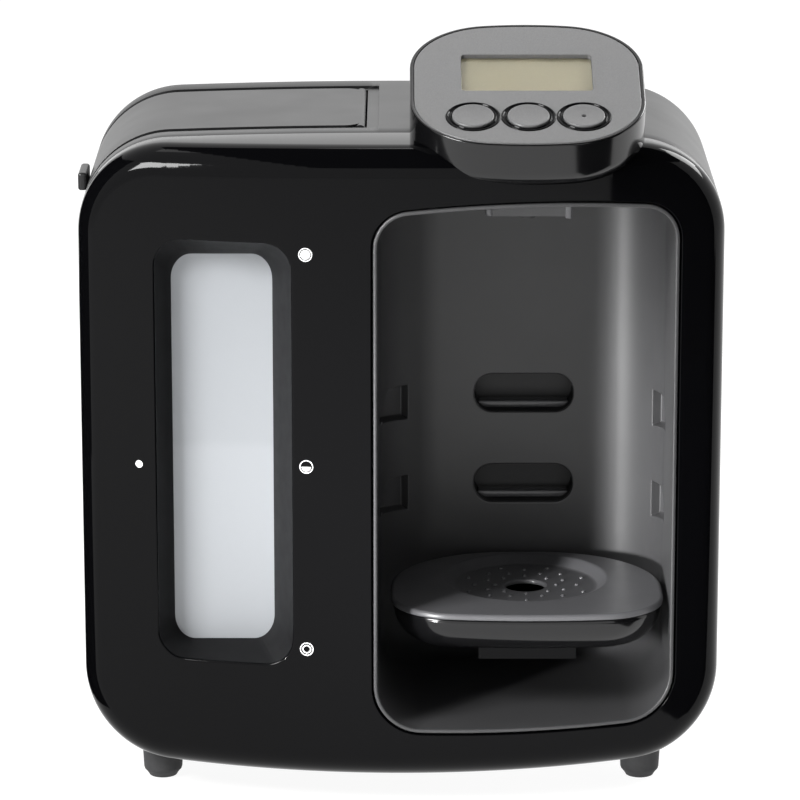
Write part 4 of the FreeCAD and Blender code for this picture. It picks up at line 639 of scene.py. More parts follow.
# %% [markdown]
# ## Front fascia
# The fascia is one thin moulding: its face is part of a wide upright cylinder, its rim is rounded by 13 mm,
# and it is pierced by the bay and by a sloping window recess. A flat sheet with two holes comes first, and
# upright cuts every 5 mm give it enough columns to be bent onto the cylinder. The rim is then rolled: its
# loop is extruded in ten small steps along the arc of a ball that touches both the face and the side wall,
# so the round stays 13 mm although the face meets the wall at a different angle all the way round.

# %% The casing's outline and the front's cylinder
CASING_HALF, CASING_LOW, CASING_HIGH = 140, 14, 296
CORNER, EDGE_BOW = 41, 2800
FRONT_Y, PARTING_Y, BACK_Y = -77, -39, 85
BULGE, FRONT_ROUND = 364, 13
BAY_LEFT, BAY_RIGHT, BAY_LOW, BAY_HIGH = -12.7, 120.3, 34.8, 272.4
BAY_BOWS, BAY_RADII = (1500, 500), (22, 17)
CASING_MIDDLE = (CASING_LOW + CASING_HIGH) / 2


def face_y(x, inset=0.0):
    """How far forward the bulged front lies at x."""
    return FRONT_Y + inset + (BULGE - inset) - math.sqrt((BULGE - inset) ** 2 - x * x)


def casing_normal(x, z):
    """The outward direction of the casing's wall at a point of its outline."""
    up = 1 if z > CASING_MIDDLE else -1
    across = CASING_HALF - CORNER
    along = math.sqrt((EDGE_BOW - CORNER) ** 2 - across ** 2)
    bow_z = (CASING_HIGH if up > 0 else CASING_LOW) - up * EDGE_BOW
    corner = Vector((math.copysign(across, x), 0, bow_z + up * along))
    if up * (z - corner.z) <= 0:
        return Vector((math.copysign(1, x), 0, 0))
    if abs(x) <= across * abs(z - bow_z) / along:
        return Vector((x, 0, z - bow_z)).normalized()
    return Vector((x - corner.x, 0, z - corner.z)).normalized()


def casing_loop(bm, y=0.0, corner_steps=24, edge_steps=40):
    return draw_outline(bm, -CASING_HALF, CASING_HALF, CASING_LOW, CASING_HIGH, (CORNER, CORNER),
                        (EDGE_BOW, EDGE_BOW), y=y, corner_steps=corner_steps, edge_steps=edge_steps)


# %% Cutting and rolling helpers for the fascia
def cut_columns(bm, places):
    """Upright cuts across a flat sheet, and then the slanting edges between them are dissolved."""
    for x in places:
        cut_along(bm, (x, 0, 0), (1, 0, 0))
    slanting = [e for e in bm.edges if len(e.link_faces) == 2
                and abs(e.verts[0].co.x - e.verts[1].co.x) > 1e-4]
    bmesh.ops.dissolve_edges(bm, edges=slanting, use_verts=False)


def open_loops(bm):
    """The closed chains of open edges, from the narrowest to the widest."""
    loops, left = [], {e for e in bm.edges if len(e.link_faces) == 1}
    while left:
        front, chain = {left.pop()}, []
        while front:
            chain += front
            front = {e for edge in front for v in edge.verts for e in v.link_edges if e in left}
            left -= front
        loops.append(chain)

    def width(chain):
        places = [v.co.x for v in verts_of(chain)]
        return max(places) - min(places)
    return sorted(loops, key=width)


def hole_normal(vert, core):
    """The direction from a rounded hole's core rectangle to a point of its edge."""
    left, right, low, high = core
    near = Vector((min(max(vert.co.x, left), right), 0, min(max(vert.co.z, low), high)))
    return (Vector((vert.co.x, 0, vert.co.z)) - near).normalized()


def rim_turn(point, outwards):
    """The angle by which the surface turns between the side wall and the bulged face."""
    slope = outwards.x * point.x / math.sqrt(BULGE ** 2 - point.x ** 2)
    return math.pi / 2 - math.atan(slope)


def roll_hole(bm, loop, core, edge_round, steps):
    """Rounds the edge of a hole in the front, from the face into the hole."""
    bases = {v: (v.co.copy(), hole_normal(v, core)) for v in verts_of(loop)}

    def place(base, share):
        start, outwards = base
        angle = share * math.pi / 2
        sunk = Vector((0, edge_round * (1 - math.cos(angle)), 0))
        return start - outwards * edge_round * math.sin(angle) + sunk
    return roll_loop(bm, loop, bases, steps, place)


# %% The fascia's face, rim and recess
WINDOW, PANE = (-106.0, -47.3, 66.5, 254.2), (-99.8, -55.9, 70.3, 244.5)
WINDOW_RADIUS, WINDOW_BACK = 12, -47.6
WINDOW_EDGE, BAY_EDGE, BAY_GAP = 1.2, 0.5, 0.2
FASCIA_WALL, COLUMN_PITCH, SILL, SHELL_GAP = 1.4, 5, 2.0, 0.1

bm = bmesh.new()
rim = casing_loop(bm)
window_loop = draw_inset(bm, WINDOW, -WINDOW_EDGE, (WINDOW_RADIUS, WINDOW_RADIUS), STRAIGHT, edge_steps=8)
grown = BAY_GAP + BAY_EDGE
bay_loop = draw_outline(bm, BAY_LEFT - grown, BAY_RIGHT + grown, BAY_LOW - grown, BAY_HIGH + grown,
                        (BAY_RADII[0] + grown, BAY_RADII[1] + grown), BAY_BOWS)
for vert in verts_of(rim):
    outwards = casing_normal(vert.co.x, vert.co.z)
    vert.co -= outwards * FRONT_ROUND * (1 - math.cos(rim_turn(vert.co, outwards)))
fill_between(bm, [rim, window_loop, bay_loop])
cut_columns(bm, range(-130, 131, COLUMN_PITCH))
for vert in bm.verts:
    vert.co.y = face_y(vert.co.x)

recess, bay_rim, rim = open_loops(bm)

rim_bases = {}
for vert in verts_of(rim):
    outwards = casing_normal(vert.co.x, vert.co.z)
    wall = Vector((vert.co.x, 0, vert.co.z))
    for _ in range(3):
        turn = rim_turn(wall, outwards)
        wall = Vector((vert.co.x, 0, vert.co.z)) + outwards * FRONT_ROUND * (1 - math.cos(turn))
    rim_bases[vert] = (wall, outwards, turn)


def along_rim(base, share):
    wall, outwards, turn = base
    slope = math.tan(math.pi / 2 - turn)
    centre_y = face_y(wall.x) - slope * FRONT_ROUND + FRONT_ROUND * math.sqrt(1 + slope * slope)
    angle = turn * (1 - share)
    inward = outwards * FRONT_ROUND * (1 - math.cos(angle))
    return wall - inward + Vector((0, centre_y - FRONT_ROUND * math.sin(angle), 0))


rim, _ = roll_loop(bm, rim, rim_bases, 12, along_rim)
for vert in verts_of(extrude_loop(bm, rim, (0, 0, 0))):
    vert.co.y = PARTING_Y - SHELL_GAP

core = (WINDOW[0] + WINDOW_RADIUS, WINDOW[1] - WINDOW_RADIUS, WINDOW[2] + WINDOW_RADIUS,
        WINDOW[3] - WINDOW_RADIUS)
recess, bases = roll_hole(bm, recess, core, WINDOW_EDGE, 4)


def towards_pane(base, share):
    """Slopes from the recess's mouth to the smaller opening at the pane, and ends in a soft turn."""
    start, depth = base
    x = PANE[0] + (start.x - WINDOW[0]) / (WINDOW[1] - WINDOW[0]) * (PANE[1] - PANE[0])
    z = PANE[2] + (start.z - WINDOW[2]) / (WINDOW[3] - WINDOW[2]) * (PANE[3] - PANE[2])
    return start.lerp(Vector((x, depth, z)), share)


recess, _ = roll_loop(bm, recess, {v: (v.co.copy(), WINDOW_BACK) for v in bases}, 3, towards_pane)
extrude_loop(bm, recess, (0, SILL, 0))
for face in bm.faces:
    middle = face.calc_center_median()
    if (WINDOW[0] < middle.x < WINDOW[1] and WINDOW[2] < middle.z < WINDOW[3]
            and middle.y > face_y(middle.x) + WINDOW_EDGE):
        face.material_index = 1
corner = BAY_RADII[0]
core = (BAY_LEFT + corner, BAY_RIGHT - corner, BAY_LOW + corner, BAY_HIGH - corner)
bay_rim, _ = roll_hole(bm, bay_rim, core, BAY_EDGE, 3)
for vert in verts_of(extrude_loop(bm, bay_rim, (0, 0, 0))):
    vert.co.y = PARTING_Y
fascia = finish_piece(bm, "polished_fascia", gloss_black, "machine", ["front_fascia"],
                      facing=((-120, -60, 150), (0, -1, 0)), sharp=60, wall=FASCIA_WALL)
fascia.data.materials.append(stoned_black)

# %% [markdown]
# ## Rear casing
# The rear half is the same outline carried back to a flat wall, with its back edge rolled by 4 mm in the
# same way. The lid's opening is cut by slicing the casing along four planes and deleting the faces between
# them. The vents and the socket's hole are drawn in the back sheet before it is filled.

# %% Rear casing
BACK_ROUND, CASING_WALL, MOUTH = 4, 2.4, (0, -2.2, 0)
VENTS, VENT_LEFT, VENT_RIGHT, VENT_LOW, VENT_HEIGHT, VENT_PITCH = 6, -100, -54, 130, 4, 9
SOCKET_LEFT, SOCKET_RIGHT, SOCKET_LOW, SOCKET_HIGH = 72, 98, 30, 49
LID_RIGHT, LID_LOW, LID_FRONT, LID_BACK = -15.5, 262, -22.4, 63
FRAME_STRIP, LID_GAP, SEAM = 5, 0.5, 0.2

bm = bmesh.new()
back_loop = casing_loop(bm, y=BACK_Y)
back_bases = {}
for vert in verts_of(back_loop):
    outwards = casing_normal(vert.co.x, vert.co.z)
    back_bases[vert] = (vert.co.copy(), outwards)
    vert.co -= outwards * BACK_ROUND
vent_loops = []
for i in range(VENTS):
    low = VENT_LOW + VENT_PITCH * i
    vent_loops.append(draw_outline(bm, VENT_LEFT, VENT_RIGHT, low, low + VENT_HEIGHT, (1.8, 1.8), STRAIGHT,
                                   y=BACK_Y, corner_steps=5, edge_steps=2))
socket_loop = draw_outline(bm, SOCKET_LEFT, SOCKET_RIGHT, SOCKET_LOW, SOCKET_HIGH, (3.8, 3.8), STRAIGHT,
                           y=BACK_Y, corner_steps=8, edge_steps=2)
fill_between(bm, [back_loop, *vent_loops, socket_loop])
for loop in (*vent_loops, socket_loop):
    extrude_loop(bm, loop, MOUTH)


def along_back(base, share):
    wall, outwards = base
    angle = (1 - share) * math.pi / 2
    return (wall - outwards * BACK_ROUND * (1 - math.cos(angle))
            + Vector((0, BACK_ROUND * (math.sin(angle) - 1), 0)))


back_loop, _ = roll_loop(bm, back_loop, back_bases, 6, along_back)
for vert in verts_of(extrude_loop(bm, back_loop, (0, 0, 0))):
    vert.co.y = PARTING_Y + SHELL_GAP
room = FRAME_STRIP + LID_GAP + SEAM
for co, no in (((0, LID_FRONT - room, 0), (0, 1, 0)), ((0, LID_BACK + room, 0), (0, 1, 0)),
               ((LID_RIGHT + room, 0, 0), (1, 0, 0)), ((0, 0, LID_LOW - room), (0, 0, 1))):
    cut_along(bm, co, no, [f for f in bm.faces if f.calc_center_median().y < BACK_Y - BACK_ROUND])
opening = []
for face in bm.faces:
    middle = face.calc_center_median()
    if (LID_FRONT - FRAME_STRIP < middle.y < LID_BACK + FRAME_STRIP
            and middle.x < LID_RIGHT + FRAME_STRIP and middle.z > LID_LOW - FRAME_STRIP):
        opening.append(face)
bmesh.ops.delete(bm, geom=opening, context="FACES")
finish_piece(bm, "rear_casing", satin_black, "machine", ["rear_housing"],
             facing=((140, 0, 150), (1, 0, 0)), sharp=60, wall=CASING_WALL)

# %% [markdown]
# ## Lofting through outlines
# The remaining mouldings are all built in the same way. The same outline is drawn several times, each time
# a little further in and further back, and neighbouring loops are bridged into a skin. Because every loop
# has the same number of points in the same order, the bridges are clean rows of quads.

# %% Bridging a row of loops
def loft(bm, loops):
    for near, far in zip(loops, loops[1:]):
        bmesh.ops.bridge_loops(bm, edges=near + far)


def quarter(radius, steps):
    """(inset, depth) pairs of a rounded edge, from the side wall's end to the flat face."""
    for i in range(steps + 1):
        angle = i / steps * math.pi / 2
        yield radius * (1 - math.cos(angle)), radius * (1 - math.sin(angle))


# %% [markdown]
# ## Bay liner
# The liner is a deep, smooth tub set into the front: a rounded lip that follows the bulge, straight walls,
# wide round corners towards the back, and three slots for the stand. On the way back the outline narrows
# along a quarter circle of 30 mm at the sides and 9 mm at the ceiling and floor, which gives the soft
# shading of the real moulding. In the rear corners, level with the two upper slots, a dimple steadies the
# stand: its faces are picked out by planes, sunk into the wall and given soft edges. The slots open into
# black boxes behind the liner.
# The black of these boxes is painted shade: it stands for the darkness deep inside the slots.

# %% Bay liner
LINER_WALL, BAY_BACK, BACK_CORNER, BACK_FILLET, LIP_ROUND, LIP_GAP = 2.3, 36, 30, 9, 0.8, 0.6
TUB_WALL, POCKET_WALL = 1.6, 1.4
POUR_X, POUR_Y = 55.6, -12
SLOT_WIDTH, SLOT_HEIGHT, SLOT_RADIUS, SLOT_PITCH, SLOT_LOW_Z = 44.5, 17.5, 8, 42.5, 75.5
SLOT_DEPTH, SLOT_LEDGE, SLOT_LIP, SLOT_EDGE = 15.5, 3.6, 6, 1.0

bay_centre = Vector(((BAY_LEFT + BAY_RIGHT) / 2, 0, (BAY_LOW + BAY_HIGH) / 2))
bay_reach = Vector(((BAY_RIGHT - BAY_LEFT) / 2 - LINER_WALL, 0, (BAY_HIGH - BAY_LOW) / 2 - LINER_WALL))


def bay_outline(bm, inset):
    return draw_inset(bm, (BAY_LEFT, BAY_RIGHT, BAY_LOW, BAY_HIGH), inset, BAY_RADII, BAY_BOWS, edge_steps=26)


def behind_face(edges, drop):
    for vert in verts_of(edges):
        vert.co.y = face_y(vert.co.x) + drop
    return edges


def corner_gain(back_y, radius):
    """How far a quarter circle of this radius has come in from the wall at a depth."""
    past = max(back_y - (BAY_BACK - radius), 0)
    return radius - math.sqrt(max(radius ** 2 - past ** 2, 0))


bm = bmesh.new()
lip = [behind_face(bay_outline(bm, 0.0), 8), behind_face(bay_outline(bm, LIP_GAP), 6.9)]
lip += [behind_face(bay_outline(bm, LIP_GAP + inset), drop) for inset, drop in quarter(LIP_ROUND, 6)]
lip += [behind_face(bay_outline(bm, LINER_WALL - inset), drop) for inset, drop in
        reversed(list(quarter(LIP_ROUND, 6)))]
depths = [-40, 0, BAY_BACK - BACK_CORNER]
depths += [BAY_BACK - BACK_CORNER * (1 - math.sin(math.radians(a))) for a in range(6, 91, 6)]
walls = []
for depth_y in depths:
    loop = bay_outline(bm, LINER_WALL)
    for vert in verts_of(loop):
        vert.co.x = bay_centre.x + (vert.co.x - bay_centre.x) * (
            1 - corner_gain(depth_y, BACK_CORNER) / bay_reach.x)
        vert.co.z = bay_centre.z + (vert.co.z - bay_centre.z) * (
            1 - corner_gain(depth_y, BACK_FILLET) / bay_reach.z)
        vert.co.y = depth_y
    walls.append(loop)
loft(bm, lip + walls)


def slot_outline(bm, level, inset, y):
    middle = SLOT_LOW_Z + SLOT_PITCH * level
    box = (POUR_X - SLOT_WIDTH / 2, POUR_X + SLOT_WIDTH / 2,
           middle - SLOT_HEIGHT / 2, middle + SLOT_HEIGHT / 2)
    return draw_inset(bm, box, inset, (SLOT_RADIUS, SLOT_RADIUS), STRAIGHT, y=y, corner_steps=8, edge_steps=4)


# %% Dimples in the rear corners, and slots
NOTCH_SPANS = {-1: (12, 31), 1: (0, 22)}
NOTCH_HEIGHT, NOTCH_DEPTH, NOTCH_TILT, NOTCH_RIM, NOTCH_EDGE = 13.5, 4.4, -0.14, 1.3, 0.5


def corner_faces(bm, side):
    """The upright faces in one of the bay's rear corners, clear of its floor and ceiling."""
    found = []
    for face in bm.faces:
        middle = face.calc_center_median()
        if (side * (middle.x - bay_centre.x) > 38 and -1 < middle.y < 34 and abs(face.normal.z) < 0.2
                and BAY_LOW + 25 < middle.z < BAY_HIGH - 14):
            found.append(face)
    return found


bm.normal_update()
for side, (front, back) in NOTCH_SPANS.items():
    for level in (1, 2):
        ledge = SLOT_LOW_Z + SLOT_PITCH * level - SLOT_HEIGHT / 2 + 0.4
        slope = Vector((0, -NOTCH_HEIGHT * 0.75, (back - front) * 0.55)).normalized()
        cuts = [((0, front, ledge), Vector((0, -NOTCH_TILT, 1))),
                ((0, 0, ledge + NOTCH_HEIGHT), Vector((0, 0, 1))),
                ((0, front, ledge), Vector((0, -1, 0))), ((0, back, ledge), Vector((0, 1, 0))),
                ((0, front, ledge + NOTCH_HEIGHT * 0.25), slope)]
        for co, no in cuts:
            cut_along(bm, co, no, corner_faces(bm, side))
        signs = (1, -1, -1, -1, -1)
        inside = [f for f in corner_faces(bm, side) if all(
            sign * no.dot(f.calc_center_median() - Vector(co)) > 0 for sign, (co, no) in zip(signs, cuts))]
        sunk = bmesh.ops.inset_region(bm, faces=inside, thickness=NOTCH_RIM, depth=-NOTCH_DEPTH,
                                      use_even_offset=False, use_boundary=True)
        round_edges(bm, list({e for f in sunk["faces"] for e in f.edges}), NOTCH_EDGE)

slot_rims = []
for level in range(3):
    rows = [slot_outline(bm, level, drop - SLOT_EDGE, BAY_BACK + inset) for inset, drop in
            ((a, SLOT_EDGE - b) for a, b in quarter(SLOT_EDGE, 4))]
    loft(bm, rows)
    slot_rims.append(rows[0])
fill_between(bm, [walls[-1], *slot_rims])
finish_piece(bm, "bay_tub", bay_grey, "machine", ["bay_liner"],
             facing=((bay_centre.x, BAY_BACK, 200), (0, -1, 0)), wall=TUB_WALL, even_wall=False)

bm = bmesh.new()
for level in range(3):
    mouth = slot_outline(bm, level, -0.02, BAY_BACK + SLOT_EDGE)
    pocket = slot_outline(bm, level, -0.02, BAY_BACK + SLOT_DEPTH)
    loft(bm, [mouth, pocket])
    fill_between(bm, [pocket])
# The pockets are black: painted shade for the darkness deep inside the slots.
finish_piece(bm, "slot_pockets", black_plastic, "machine", wall=POCKET_WALL,
             facing=((POUR_X, BAY_BACK + SLOT_DEPTH, SLOT_LOW_Z), (0, -1, 0)), calm=False)

bm = bmesh.new()
for level in range(3):
    floor_z = SLOT_LOW_Z + SLOT_PITCH * level - SLOT_HEIGHT / 2
    add_box(bm, (SLOT_WIDTH - 3, SLOT_DEPTH - SLOT_LIP, SLOT_LEDGE - 0.2),
            (POUR_X, BAY_BACK + SLOT_LIP + (SLOT_DEPTH - SLOT_LIP) / 2 + 0.3, floor_z + SLOT_LEDGE / 2))
round_edges(bm, bm.edges[:], 0.9)
# The ledges take the lighter grey: painted highlight along the slots' floors.
finish_piece(bm, "slot_ledges", polished_grey_painted_highlight, "machine", sharp=60, calm=False)

# %% Clips at the nozzle block's ends
CLIP_SIZE, CLIP_REACH, CLIP_FORWARD, CLIP_Z = (3.0, 16, 6.4), 17.4, 4.6, 259.4
bm = bmesh.new()
for side, drop in ((-1, 0.4), (1, 1.6)):
    add_box(bm, CLIP_SIZE, (POUR_X + side * CLIP_REACH, POUR_Y - CLIP_FORWARD, CLIP_Z - drop))
round_edges(bm, bm.edges[:], 0.8)
# The clips take the lighter grey: painted highlight on the nozzle block's ends.
finish_piece(bm, "nozzle_clips", polished_grey_painted_highlight, "machine", sharp=60, calm=False)

# %% [markdown]
# ## Stand: tray cover and drip tray
# The bottle stands on a shallow dish with rings of small pips, so that its foot stays out of the drips, and
# a hole lets them run into the tray below. The plan outline is drawn upright like the others and then laid
# down: what was towards the viewer becomes up. The tray is a bowl with a wide round at its foot, and its
# lacquered black mirrors the bay around it. The bracket behind it is the frame's own piece.

# %% Laying a piece down
PLATE_WIDTH, PLATE_FRONT, PLATE_BACK, PLATE_HIGH, PLATE_THICK = 120.5, -71, 28, 88, 6
PLATE_RADII, PLATE_BOWS, PLATE_LIP = (30, 52), (300, 600), 2.6
DISH, DISH_FLOOR, DISH_DEPTH, DRAIN = 36.3, 31, 4, 9
PIP_RINGS, PIP_RAYS, PIP_FIRST, PIP_STEP, PIP_SHAPE = 4, 8, 13.8, 4.6, (1, 0.8, 1, 1)


def plate_outline(bm, inset, height):
    box = (POUR_X - PLATE_WIDTH / 2, POUR_X + PLATE_WIDTH / 2, PLATE_FRONT, PLATE_BACK)
    return draw_inset(bm, box, inset, PLATE_RADII, PLATE_BOWS, y=-height, corner_steps=16)


def ring(bm, radius, height, steps=72):
    return draw_circle(bm, POUR_X, POUR_Y, radius, y=-height, steps=steps)


def lay_down(bm):
    """Turns a piece drawn towards the viewer so that the viewer's side is up."""
    bmesh.ops.rotate(bm, verts=bm.verts[:], cent=(0, 0, 0), matrix=Matrix.Rotation(-math.pi / 2, 3, "X"))


# %% Tray cover
PLATE_LOW = PLATE_HIGH - PLATE_THICK
FLOOR = PLATE_HIGH - DISH_DEPTH
TRAY_LOW, TRAY_INSET, TRAY_WALL, TRAY_ROUND, SEAT = 69, 1.0, 1.9, 14, 0.3
PLUG = TRAY_INSET + TRAY_WALL + 1.4
bm = bmesh.new()
edge_rows = [plate_outline(bm, PLUG, PLATE_LOW), plate_outline(bm, PLUG, PLATE_HIGH - PLATE_LIP - 0.1)]
edge_rows += [plate_outline(bm, inset, PLATE_HIGH - PLATE_LIP + drop) for inset, drop in
              reversed(list(quarter(0.5, 2)))]
edge_rows += [plate_outline(bm, inset, PLATE_HIGH - drop) for inset, drop in quarter(1.7, 6)]
loft(bm, edge_rows)
dish_rows = [ring(bm, radius, height) for radius, height in (
    (DISH + 1.2, PLATE_HIGH), (DISH + 0.5, PLATE_HIGH - 0.12), (DISH - 0.4, PLATE_HIGH - 0.5),
    (DISH_FLOOR + 1.6, FLOOR + 0.55), (DISH_FLOOR + 0.6, FLOOR + 0.14), (DISH_FLOOR - 0.8, FLOOR),
    (DRAIN + 1.0, FLOOR), (DRAIN + 0.3, FLOOR - 0.25), (DRAIN, FLOOR - 0.9), (DRAIN, PLATE_LOW))]
loft(bm, dish_rows)
fill_between(bm, [edge_rows[-1], dish_rows[0]])
fill_between(bm, [edge_rows[0], dish_rows[-1]])
lay_down(bm)
finish_piece(bm, "dished_tray_cover", stand_grey, "cover", ["tray_cover"])

bm = bmesh.new()
for ring_number in range(PIP_RINGS):
    for ray in range(PIP_RAYS):
        angle = (ray + (ring_number % 2) / 2) * 2 * math.pi / PIP_RAYS
        reach = PIP_FIRST + PIP_STEP * ring_number
        seat = Matrix.Translation((POUR_X + reach * math.cos(angle), -FLOOR,
                                   POUR_Y + reach * math.sin(angle)))
        bmesh.ops.create_uvsphere(bm, u_segments=14, v_segments=8, radius=1.0,
                                  matrix=seat @ Matrix.Diagonal(PIP_SHAPE))
lay_down(bm)
# The pips take the lighter grey: painted highlight, a glint on each pip.
finish_piece(bm, "dish_pips", polished_grey_painted_highlight, "cover", sharp=32, calm=False)

# %% Drip tray
TRAY_RIM = PLATE_HIGH - PLATE_LIP - SEAT
bm = bmesh.new()
stretch = (TRAY_RIM - TRAY_LOW) / TRAY_ROUND
bowl = [plate_outline(bm, TRAY_INSET + inset, TRAY_LOW + drop * stretch) for inset, drop in
        reversed(list(quarter(TRAY_ROUND, 12)))]
loft(bm, bowl)
fill_between(bm, [bowl[0]])
lay_down(bm)
finish_piece(bm, "gloss_drip_tray", lacquered_black, "stand", ["drip_tray"],
             facing=((POUR_X, POUR_Y, TRAY_LOW), (0, 0, -1)), wall=TRAY_WALL)

# %% [markdown]
# ## Control head
# The head is a puck with softly swelling sides, tilted towards the user. Its shell is gloss black: a thin
# rim, a straight side and a round of 10 mm into the underside. Behind, a neck with the same outline carries
# it down to the casing. Everything is drawn flat about the face's centre, as on the CAD model, and one
# helper then lays it down, tilts it and sets it in place.

# %% Head outline and seat
HEAD_SIZE, HEAD_RADIUS, HEAD_BOW, HEAD_DEPTH, HEAD_ROUND = 101, 36, 170, 24, 10
HEAD_PLACE, HEAD_TILT = Vector((54.1, -37, 317)), math.radians(20.3)
FACE_INSET, FACE_THICK = 1.8, 2
NECK_INSET, NECK_HIGH, NECK_LOW, NECK_FRONT, CASING_TOP = 0.03, -10.9, -60, -30, 291.5


def head_outline(bm, inset, height):
    half = HEAD_SIZE / 2
    return draw_inset(bm, (-half, half, -half, half), inset, (HEAD_RADIUS, HEAD_RADIUS),
                      (HEAD_BOW, HEAD_BOW), y=-height, corner_steps=16, edge_steps=22)


def seat_on_head(bm):
    lay_down(bm)
    bmesh.ops.rotate(bm, verts=bm.verts[:], cent=(0, 0, 0), matrix=Matrix.Rotation(HEAD_TILT, 3, "X"))
    bmesh.ops.translate(bm, verts=bm.verts[:], vec=HEAD_PLACE)


# %% Head shell and neck
bm = bmesh.new()
rows = [head_outline(bm, inset, drop - HEAD_DEPTH) for inset, drop in reversed(list(quarter(HEAD_ROUND, 10)))]
rows += [head_outline(bm, inset, -drop) for inset, drop in quarter(0.7, 4)]
rows += [head_outline(bm, FACE_INSET - 0.25, 0), head_outline(bm, FACE_INSET - 0.25, -FACE_THICK - 0.1),
         head_outline(bm, 2.6, -FACE_THICK - 0.2), head_outline(bm, 2.6, -14),
         head_outline(bm, 5, -16.4)]
loft(bm, rows)
fill_between(bm, [rows[0]])
fill_between(bm, [rows[-1]])
seat_on_head(bm)
finish_piece(bm, "head_shell", lacquered_black, "machine", ["head_housing"])

bm = bmesh.new()
neck = [head_outline(bm, NECK_INSET, NECK_HIGH), head_outline(bm, NECK_INSET, NECK_LOW)]
loft(bm, neck)
fill_between(bm, [neck[0]])
fill_between(bm, [neck[1]])
slice_away(bm, (0, 0, NECK_FRONT), (0, 0, -1))
seat_on_head(bm)
slice_away(bm, (0, 0, CASING_TOP), (0, 0, -1))
finish_piece(bm, "head_neck", lacquered_black, "machine")

# %% [markdown]
# ## Face plate, display and buttons
# The face plate is one sheet with a rectangular window and three round holes. Each button is a shallow
# dished cap inside a dark ring with a polished step; both are lathe shapes, made by spinning a short
# profile round the button's axis.

# %% Face plate
LCD_SIZE, LCD_Y, LCD_RADIUS = (56.5, 30), 9.5, 2
BUTTON_Y, BUTTON_PITCH, RING_RADIUS = -27.1, 23.6, 11.7


def lcd_outline(bm, grow, height):
    wide, high = LCD_SIZE[0] / 2, LCD_SIZE[1] / 2
    return draw_inset(bm, (-wide, wide, LCD_Y - high, LCD_Y + high), -grow, (LCD_RADIUS, LCD_RADIUS),
                      STRAIGHT, y=-height, corner_steps=6, edge_steps=6)


bm = bmesh.new()
sides = [head_outline(bm, FACE_INSET, -FACE_THICK)]
sides += [head_outline(bm, FACE_INSET + inset, -drop) for inset, drop in quarter(0.6, 4)]
loft(bm, sides)
window = [lcd_outline(bm, 0, -FACE_THICK), lcd_outline(bm, 0, -0.5), lcd_outline(bm, 0.15, -0.15),
          lcd_outline(bm, 0.5, 0)]
loft(bm, window)
seats = []
for i in (-1, 0, 1):
    seat = [draw_circle(bm, BUTTON_PITCH * i, BUTTON_Y, RING_RADIUS + grow, y=-height, steps=64)
            for grow, height in ((0, -FACE_THICK), (0, -0.3), (0.08, -0.08), (0.3, 0))]
    loft(bm, seat)
    seats.append(seat)
fill_between(bm, [sides[-1], window[-1], *[seat[-1] for seat in seats]])
fill_between(bm, [sides[0], window[0], *[seat[0] for seat in seats]])
seat_on_head(bm)
finish_piece(bm, "painted_face_plate", face_silver, "machine", ["control_face"], sharp=40)


# %% Rings and caps by spinning profiles
def turn_profile(bm, points, centre, axis, steps):
    """Spins a chain of points once round an axis, as on a lathe."""
    verts = [bm.verts.new(point) for point in points]
    edges = [bm.edges.new(pair) for pair in zip(verts, verts[1:])]
    bmesh.ops.spin(bm, geom=verts + edges, cent=centre, axis=axis, angle=2 * math.pi, steps=steps,
                   use_merge=True, use_duplicate=False)


def turn_on_face(bm, profile, x, z):
    """Turns (radius, height) points about an upright axis of the flat drawing."""
    turn_profile(bm, [(x + radius, -height, z) for radius, height in profile], (x, 0, z), (0, 1, 0), 64)


RING_PROFILE = [(9.4, -1.9), (9.4, 0.05), (9.5, 0.2), (9.68, 0.28), (9.9, 0.2), (10.0, -0.05), (10.15, -0.25),
                (10.4, -0.3), (10.65, -0.15), (10.8, 0.12), (11.0, 0.27), (11.35, 0.27), (11.58, 0.15),
                (11.66, -0.1), (11.66, -1.9), (9.4, -1.9)]
bm = bmesh.new()
for i in (-1, 0, 1):
    turn_on_face(bm, RING_PROFILE, BUTTON_PITCH * i, BUTTON_Y)
seat_on_head(bm)
finish_piece(bm, "button_surrounds", gloss_black, "machine", ["button_rings"])

CAP_PROFILE = [(0.0, 0.42), (2.0, 0.44), (4.0, 0.5), (6.0, 0.62), (7.4, 0.76), (8.0, 0.83), (8.45, 0.86),
               (8.75, 0.78), (8.92, 0.58), (8.98, 0.3), (9.0, -2.4), (9.9, -2.4), (9.9, -3.0), (0.0, -3.0)]
DOTTED_PROFILE = [(0.0, 0.12), (0.5, 0.13), (0.75, 0.2), (0.9, 0.36), (1.1, 0.42)] + CAP_PROFILE[1:]
for i, body in enumerate(("button_a", "button_b", "button_c")):
    bm = bmesh.new()
    turn_on_face(bm, DOTTED_PROFILE if i == 2 else CAP_PROFILE, BUTTON_PITCH * (i - 1), BUTTON_Y)
    seat_on_head(bm)
    finish_piece(bm, f"button_cap_{i + 1}", face_silver, body, [f"button_{i + 1}"])

DOT_RADIUS, DOT_RISE, DOT_SHAPE = 1.3, 0.15, (1, 0.35, 1, 1)
bm = bmesh.new()
seat = Matrix.Translation((BUTTON_PITCH, -DOT_RISE, BUTTON_Y))
bmesh.ops.create_uvsphere(bm, u_segments=20, v_segments=10, radius=DOT_RADIUS,
                          matrix=seat @ Matrix.Diagonal(DOT_SHAPE))
seat_on_head(bm)
finish_piece(bm, "start_button_dot", black_plastic, "button_c", sharp=32, calm=False)

# %% [markdown]
# ## Tank lid
# The lid is a strip of the casing's own skin: it runs over the top and down round the corner, and ends in a
# small finger tab. Its outline is the upper left stretch of the casing's loop, pulled back into a strip.
# Solidify gives it its wall. Two of its corners are rounded by slicing them along their tangents. The
# narrow frame round it is the frame's own piece.

